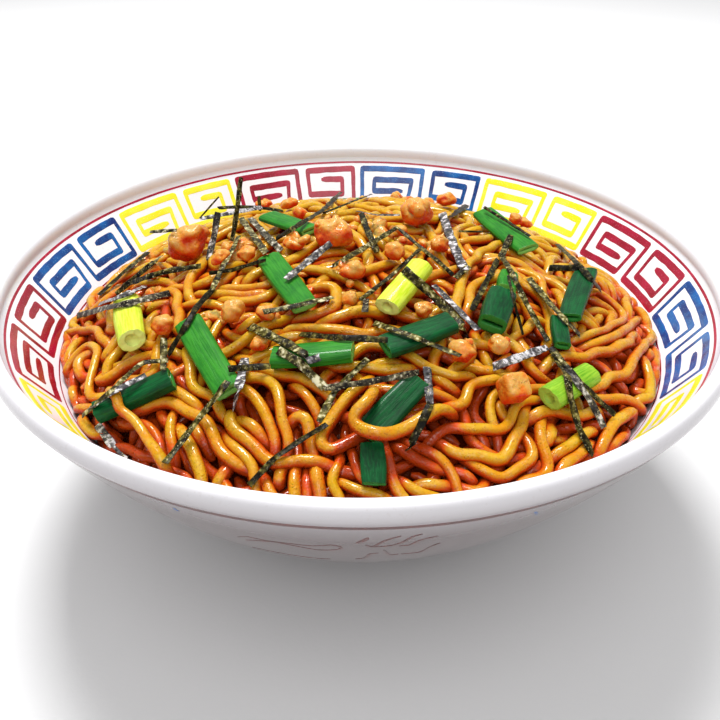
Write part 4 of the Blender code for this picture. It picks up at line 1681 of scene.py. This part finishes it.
class MAZESOBA_OT_crumbs(bpy.types.Operator):
    """Scatter loose crumbs of meat round the chunks"""

    bl_idname = "mazesoba.crumbs"
    bl_label = "Meat crumbs"

    def execute(self, context):
        rng = random.Random(11)
        surface = seen_surface()
        leaves = field_of(tree_of(ONIONS), 0.0)
        points, sizes, turns = [], [], []
        for pixel, reach, count in CRUMB_PATCHES_PX:
            middle = on_surface(pixel, OUTLINE, 0.001)
            for _ in range(count):
                away, angle = abs(rng.gauss(0, 0.5)) * reach * MM, rng.uniform(0, 6.28)
                x, y = middle[0] + away * math.cos(angle), middle[1] + away * math.sin(angle)
                size = rng.uniform(0.0013, 0.0032) * rng.uniform(0.7, 1.0)
                if math.hypot(x, y) > 0.084 or leaves.at(x, y) > 0:
                    continue
                points.append((x, y, float(surface.at(x, y)) - 0.15 * size))
                sizes.append([size * rng.uniform(*s) for s in ((0.8, 1.6), (0.7, 1.2), (0.6, 0.9))])
                turns.append([rng.uniform(*s) for s in ((-0.7, 0.7), (-0.7, 0.7), (0, 6.28))])
        piece = mesh_from("meat_crumbs", points, [], size=sizes, turn=turns)
        material = bpy.data.materials["Seasoned meat"]
        keep(through_tree(piece, scattered_crumbs(), Detail=8, Material=material))
        return {"FINISHED"}


# Shreds of dried seaweed, in pixels of the photograph, with their width in mm and their
# tone: dark below, painted gold glints about 0.4, painted grey-violet sheen about 0.65,
# painted silver reflection above. A third number puts a pixel at that depth in mm from the
# bowl's middle, for a shred that stands.
SHREDS_PX = (
    (((241, 177, 7), (237, 210, 6), (232, 241, 4)), 1.7, 0.52),
    (((219, 197, 9), (200, 218, 7)), 0.7, 0.15),
    (((200, 219, 8), (226, 214, 16), (262, 207, 36)), 1.5, 0.85),
    (((218, 208, 22), (250, 207, 34), (283, 211, 44)), 1.4, 0.2),
    (((218, 212, 9), (214, 236, 6), (208, 260)), 2.2, 0.66),
    (((259, 196, 42), (260, 211, 42)), 1.3, 0.15),
    (((241, 218), (266, 253)), 2.2, 0.5),
    (((250, 218), (281, 251)), 2.2, 0.62),
    (((341, 192), (323, 210), (300, 224), (276, 239)), 1.6, 0.12),
    (((239, 236), (232, 250), (221, 270), (212, 290)), 1.8, 0.48),
    (((213, 289), (196, 308), (184, 328), (168, 355)), 1.7, 0.04),
    (((372, 194), (354, 201), (323, 213)), 0.7, 0.15),
    (((356, 211), (378, 215), (400, 215)), 0.9, 0.7),
    (((148, 252), (124, 272), (99, 295)), 2.1, 0.15),
    (((161, 256), (138, 275), (116, 294)), 1.7, 0.34),
    (((122, 286), (150, 276), (172, 270), (201, 266)), 1.7, 0.34),
    (((209, 273), (232, 270), (266, 260)), 1.2, 0.1),
    (((99, 304), (122, 296), (145, 286)), 1.7, 0.9),
    (((77, 316), (105, 308), (128, 303), (170, 293)), 2.0, 0.62),
    (((150, 232, 3), (177, 230, 1)), 1.3, 0.6),
    (((286, 279), (331, 243)), 2.2, 0.68),
    (((263, 312), (295, 306), (333, 297)), 1.7, 0.55),
    (((250, 326), (290, 345), (313, 359)), 2.5, 0.36),
    (((278, 350), (300, 363), (325, 388)), 2.3, 0.56),
    (((307, 361), (329, 354)), 1.9, 0.72),
    (((228, 369), (270, 366)), 1.9, 0.14),
    (((300, 334), (330, 337), (352, 338), (388, 340)), 1.8, 0.1),
    (((82, 416), (111, 391), (133, 370), (144, 362), (168, 360)), 1.6, 0.52),
    (((88, 409), (118, 389), (146, 375)), 1.7, 0.76),
    (((164, 338), (163, 370)), 1.8, 0.55),
    (((245, 358), (234, 409)), 2.4, 0.86),
    (((228, 381), (198, 420), (165, 463)), 2.0, 0.42),
    (((97, 425, -59.4), (108, 439, -64.3), (113, 446, -66.6)), 2.2, 0.92),
    (((111, 443, -66), (120, 453, -69), (127, 458, -70.2)), 0.9, 0.7),
    (((327, 424), (296, 443), (276, 457), (249, 485)), 1.7, 0.04),
    (((368, 359), (352, 374), (334, 392), (319, 422)), 1.9, 0.5),
    (((324, 388), (341, 386), (370, 382), (419, 372)), 1.6, 0.6),
    (((398, 227), (380, 238), (359, 251), (332, 266)), 1.6, 0.52),
    (((361, 213), (367, 229), (377, 252)), 2.0, 0.3),
    (((420, 249), (390, 277), (360, 300)), 1.4, 0.36),
    (((399, 229), (419, 246), (438, 261), (453, 275)), 1.2, 0.3),
    (((442, 213), (450, 236), (458, 256), (465, 270)), 2.8, 0.78),
    (((469, 266), (455, 278)), 1.9, 0.5),
    (((467, 205), (450, 217)), 2.3, 0.05),
    (((404, 269), (430, 293), (452, 314), (466, 331)), 2.5, 0.42),
    (((434, 285), (452, 303), (478, 330)), 1.9, 0.74),
    (((374, 323), (407, 334), (434, 345), (461, 356)), 1.7, 0.46),
    (((427, 367), (430, 404)), 2.0, 0.72),
    (((431, 402), (421, 425), (408, 450)), 2.0, 0.1),
    (((493, 367), (547, 347)), 2.4, 0.97),
    (((551, 347), (580, 382), (615, 415)), 1.5, 0.34),
    (((552, 350), (567, 374), (571, 399), (579, 428), (593, 455)), 2.2, 0.3),
    (((556, 356), (574, 377), (592, 403), (604, 428)), 1.9, 0.66),
    (((529, 278), (554, 308), (580, 335)), 2.0, 0.38),
    (((502, 257), (511, 271), (521, 293), (534, 317), (548, 341)), 1.6, 0.42),
    (((508, 275), (516, 309), (523, 335)), 0.8, 0.2),
    (((498, 259), (472, 310)), 1.8, 0.16),
    (((511, 235), (501, 257)), 2.1, 0.34),
    (((557, 244), (580, 266), (601, 290)), 1.9, 0.08),
    (((549, 268), (573, 268), (581, 265)), 2.2, 0.04),
    (((484, 207, 30), (530, 236)), 1.0, 0.2),
    (((366, 299), (365, 312)), 1.8, 0.62),
    (((459, 231), (483, 232)), 0.7, 0.18),
)
SHRED_LIFT = 0.0003
SHRED_SAG = 0.000004
SHRED_STEP = 0.0012
SHRED_PIXELS = 2.6
MEAN_WIDTH = 1.8
TO_DINER = (0.0, -0.80, 0.60)


def on_height(pixel, height):
    """Where the ray through a pixel is at this height."""
    start, way = view_ray(pixel)
    return start + way * ((height - start[2]) / way[2])


def on_depth(pixel, surface):
    """Where the ray through a pixel is at the pixel's own depth, or else on the surface."""
    if len(pixel) < 3:
        return on_surface(pixel, surface, -SHRED_LIFT)
    start, way = view_ray(pixel)
    return start + (pixel[2] * MM - start[1]) / way[1] * way


def laid_shred(route, surface):
    """A stiff thin strip that bridges from one high spot to the next, or stands free."""
    if any(len(pixel) > 2 for pixel in route):
        return [on_depth(pixel, surface) for pixel in route]
    corners = np.array(route, float)
    run = runs_of(corners)
    even = np.linspace(0, run[-1], max(8, int(run[-1] / SHRED_PIXELS)))
    pixels = np.c_[np.interp(even, run, corners[:, 0]), np.interp(even, run, corners[:, 1])]
    spots = np.array([on_surface(pixel, surface, -SHRED_LIFT) for pixel in pixels])
    height = spots[:, 2]
    for _ in range(3):
        least = surface.at(spots[:, 0], spots[:, 1]) + SHRED_LIFT
        height = np.maximum(height, least)
        for _ in range(80):
            hung = 0.5 * (height[:-2] + height[2:]) - SHRED_SAG
            height[1:-1] = np.maximum(least[1:-1], hung)
            height[0] = max(least[0], 2 * height[1] - height[2] - 4 * SHRED_SAG)
            height[-1] = max(least[-1], 2 * height[-2] - height[-3] - 4 * SHRED_SAG)
        spots = np.array([on_height(pixel, z) for pixel, z in zip(pixels, height)])
    return spots


class MAZESOBA_OT_seaweed(bpy.types.Operator):
    """Scatter the shreds of dried seaweed over everything"""

    bl_idname = "mazesoba.seaweed"
    bl_label = "Seaweed shreds"

    def execute(self, context):
        settings = context.scene.mazesoba_toppings
        rng = random.Random(5)
        surface = seen_surface().grown(0.0008)
        paths, thick, twist, tones = [], [], [], []
        for route, width, tone in SHREDS_PX:
            path = smooth_path(laid_shred(route, surface), SHRED_STEP)
            steps = np.arange(len(path))
            swing, roll = rng.uniform(0, 6.28), rng.uniform(-0.25, 0.25)
            size = 1 + 0.10 * np.sin(0.9 * steps + swing)
            size[[0, -1]] *= 0.9
            ways = np.gradient(path, axis=0)
            side = np.c_[ways[:, 1], -ways[:, 0], 0 * steps]
            side /= np.maximum(1e-9, np.linalg.norm(side, axis=1))[:, None]
            upward = np.cross(side, ways / np.linalg.norm(ways, axis=1)[:, None])
            lean = np.arctan2(side @ TO_DINER, abs(upward @ TO_DINER))
            paths.append(path)
            thick.append(0.5 * width / MEAN_WIDTH * settings.shred_width * size)
            twist.append(0.6 * lean + roll + 0.22 * np.sin(0.12 * steps + swing))
            tones.append(np.full(len(path), tone))
        piece = paths_piece("seaweed_shreds", paths, thick=thick, twist=twist, tone=tones)
        shape = {"Sides": 8, "Squareness": 6.0, "Flatness": 0.09, "Upright": True}
        crinkle = {"Crinkle": 0.0003, "Crinkle_Scale": 170.0}
        through_tree(piece, sweep_bars(), **shape, **crinkle, Material=seaweed_material())
        keep(piece)
        return {"FINISHED"}


# ---------------------------------------------------------------- stage


TABLE_CORNERS = ((-1, -1), (1, -1), (1, 1), (-1, 1))
TABLE_HALF = 3.0
TABLE_TOP = -0.0002
AIMED_AT = (0.0, 0.0, 0.06)


def placed(name, data, place, turn):
    """A light or a camera in the scene."""
    made = bpy.data.objects.new(name, data)
    made.location = place
    made.rotation_euler = turn
    bpy.context.scene.collection.objects.link(made)
    return made


def soft_light(name, place, strength, size):
    """A soft square light that faces the bowl."""
    data = bpy.data.lights.new(name, "AREA")
    data.energy = strength
    data.size = size
    way = Vector(AIMED_AT) - Vector(place)
    placed(name, data, place, way.to_track_quat("-Z", "Y").to_euler())


class MAZESOBA_OT_stage(bpy.types.Operator):
    """Set the pale table, the soft lights and the camera"""

    bl_idname = "mazesoba.stage"
    bl_label = "Table, light and camera"

    def execute(self, context):
        settings = context.scene.mazesoba_stage
        corners = [(x * TABLE_HALF, y * TABLE_HALF, TABLE_TOP) for x, y in TABLE_CORNERS]
        mesh_from("pale_table", corners, [(0, 1, 2, 3)], floor_material(settings))
        soft_light("key_light", (-0.12, 0.42, 1.18), settings.key, 0.45)
        soft_light("fill_light", (0.0, -0.78, 1.14), settings.fill, 1.1)
        world = bpy.data.worlds.new("studio")
        world.use_nodes = True
        background = world.node_tree.nodes["Background"]
        background.inputs["Color"].default_value = (1.0, 1.0, 1.0, 1.0)
        background.inputs["Strength"].default_value = settings.air
        context.scene.world = world
        context.scene.view_settings.view_transform = "Standard"
        lens = bpy.data.cameras.new("view")
        lens.sensor_width = SENSOR
        lens.lens = SENSOR * CAMERA_FOCAL_PIXELS / PHOTO_SIDE
        lens.clip_start = 0.01
        turn = (math.radians(90 - CAMERA_DIP), 0.0, 0.0)
        context.scene.camera = placed("view", lens, CAMERA_PLACE, turn)
        return {"FINISHED"}


class MAZESOBA_PT_panel(bpy.types.Panel):
    """Buttons for the bowl's pieces"""

    bl_label = "Mazesoba"
    bl_idname = "MAZESOBA_PT_panel"
    bl_space_type = "VIEW_3D"
    bl_region_type = "UI"
    bl_category = "Mazesoba"

    def draw(self, context):
        for name, operators in STEPS:
            box = self.layout.box()
            group = getattr(context.scene, name)
            for key in group.__annotations__:
                box.prop(group, key)
            for operator in operators:
                box.operator(operator.bl_idname)


GROUPS = {
    "mazesoba_bowl": BowlSettings,
    "mazesoba_noodles": NoodleSettings,
    "mazesoba_toppings": ToppingSettings,
    "mazesoba_stage": StageSettings,
}
TOPPING_STEPS = (
    MAZESOBA_OT_onion, MAZESOBA_OT_meat, MAZESOBA_OT_crumbs, MAZESOBA_OT_seaweed,
)
STEPS = (
    ("mazesoba_bowl", (MAZESOBA_OT_bowl, MAZESOBA_OT_border, MAZESOBA_OT_brushwork)),
    ("mazesoba_noodles", (MAZESOBA_OT_noodles,)),
    ("mazesoba_toppings", TOPPING_STEPS),
    ("mazesoba_stage", (MAZESOBA_OT_stage,)),
)
CLASSES = (*GROUPS.values(), *(made for _, step in STEPS for made in step), MAZESOBA_PT_panel)


def register():
    for made in CLASSES:
        bpy.utils.register_class(made)
    for name, group in GROUPS.items():
        setattr(bpy.types.Scene, name, PointerProperty(type=group))


def unregister():
    for name in GROUPS:
        delattr(bpy.types.Scene, name)
    for made in reversed(CLASSES):
        bpy.utils.unregister_class(made)


def main():
    """Builds every piece in order."""
    for old in [o for o in bpy.data.objects if o.name in ("Cube", "Light", "Camera")]:
        bpy.data.objects.remove(old)
    register()
    for _, operators in STEPS:
        for operator in operators:
            area, name = operator.bl_idname.split(".")
            getattr(getattr(bpy.ops, area), name)()


if __name__ == "__main__":
    main()
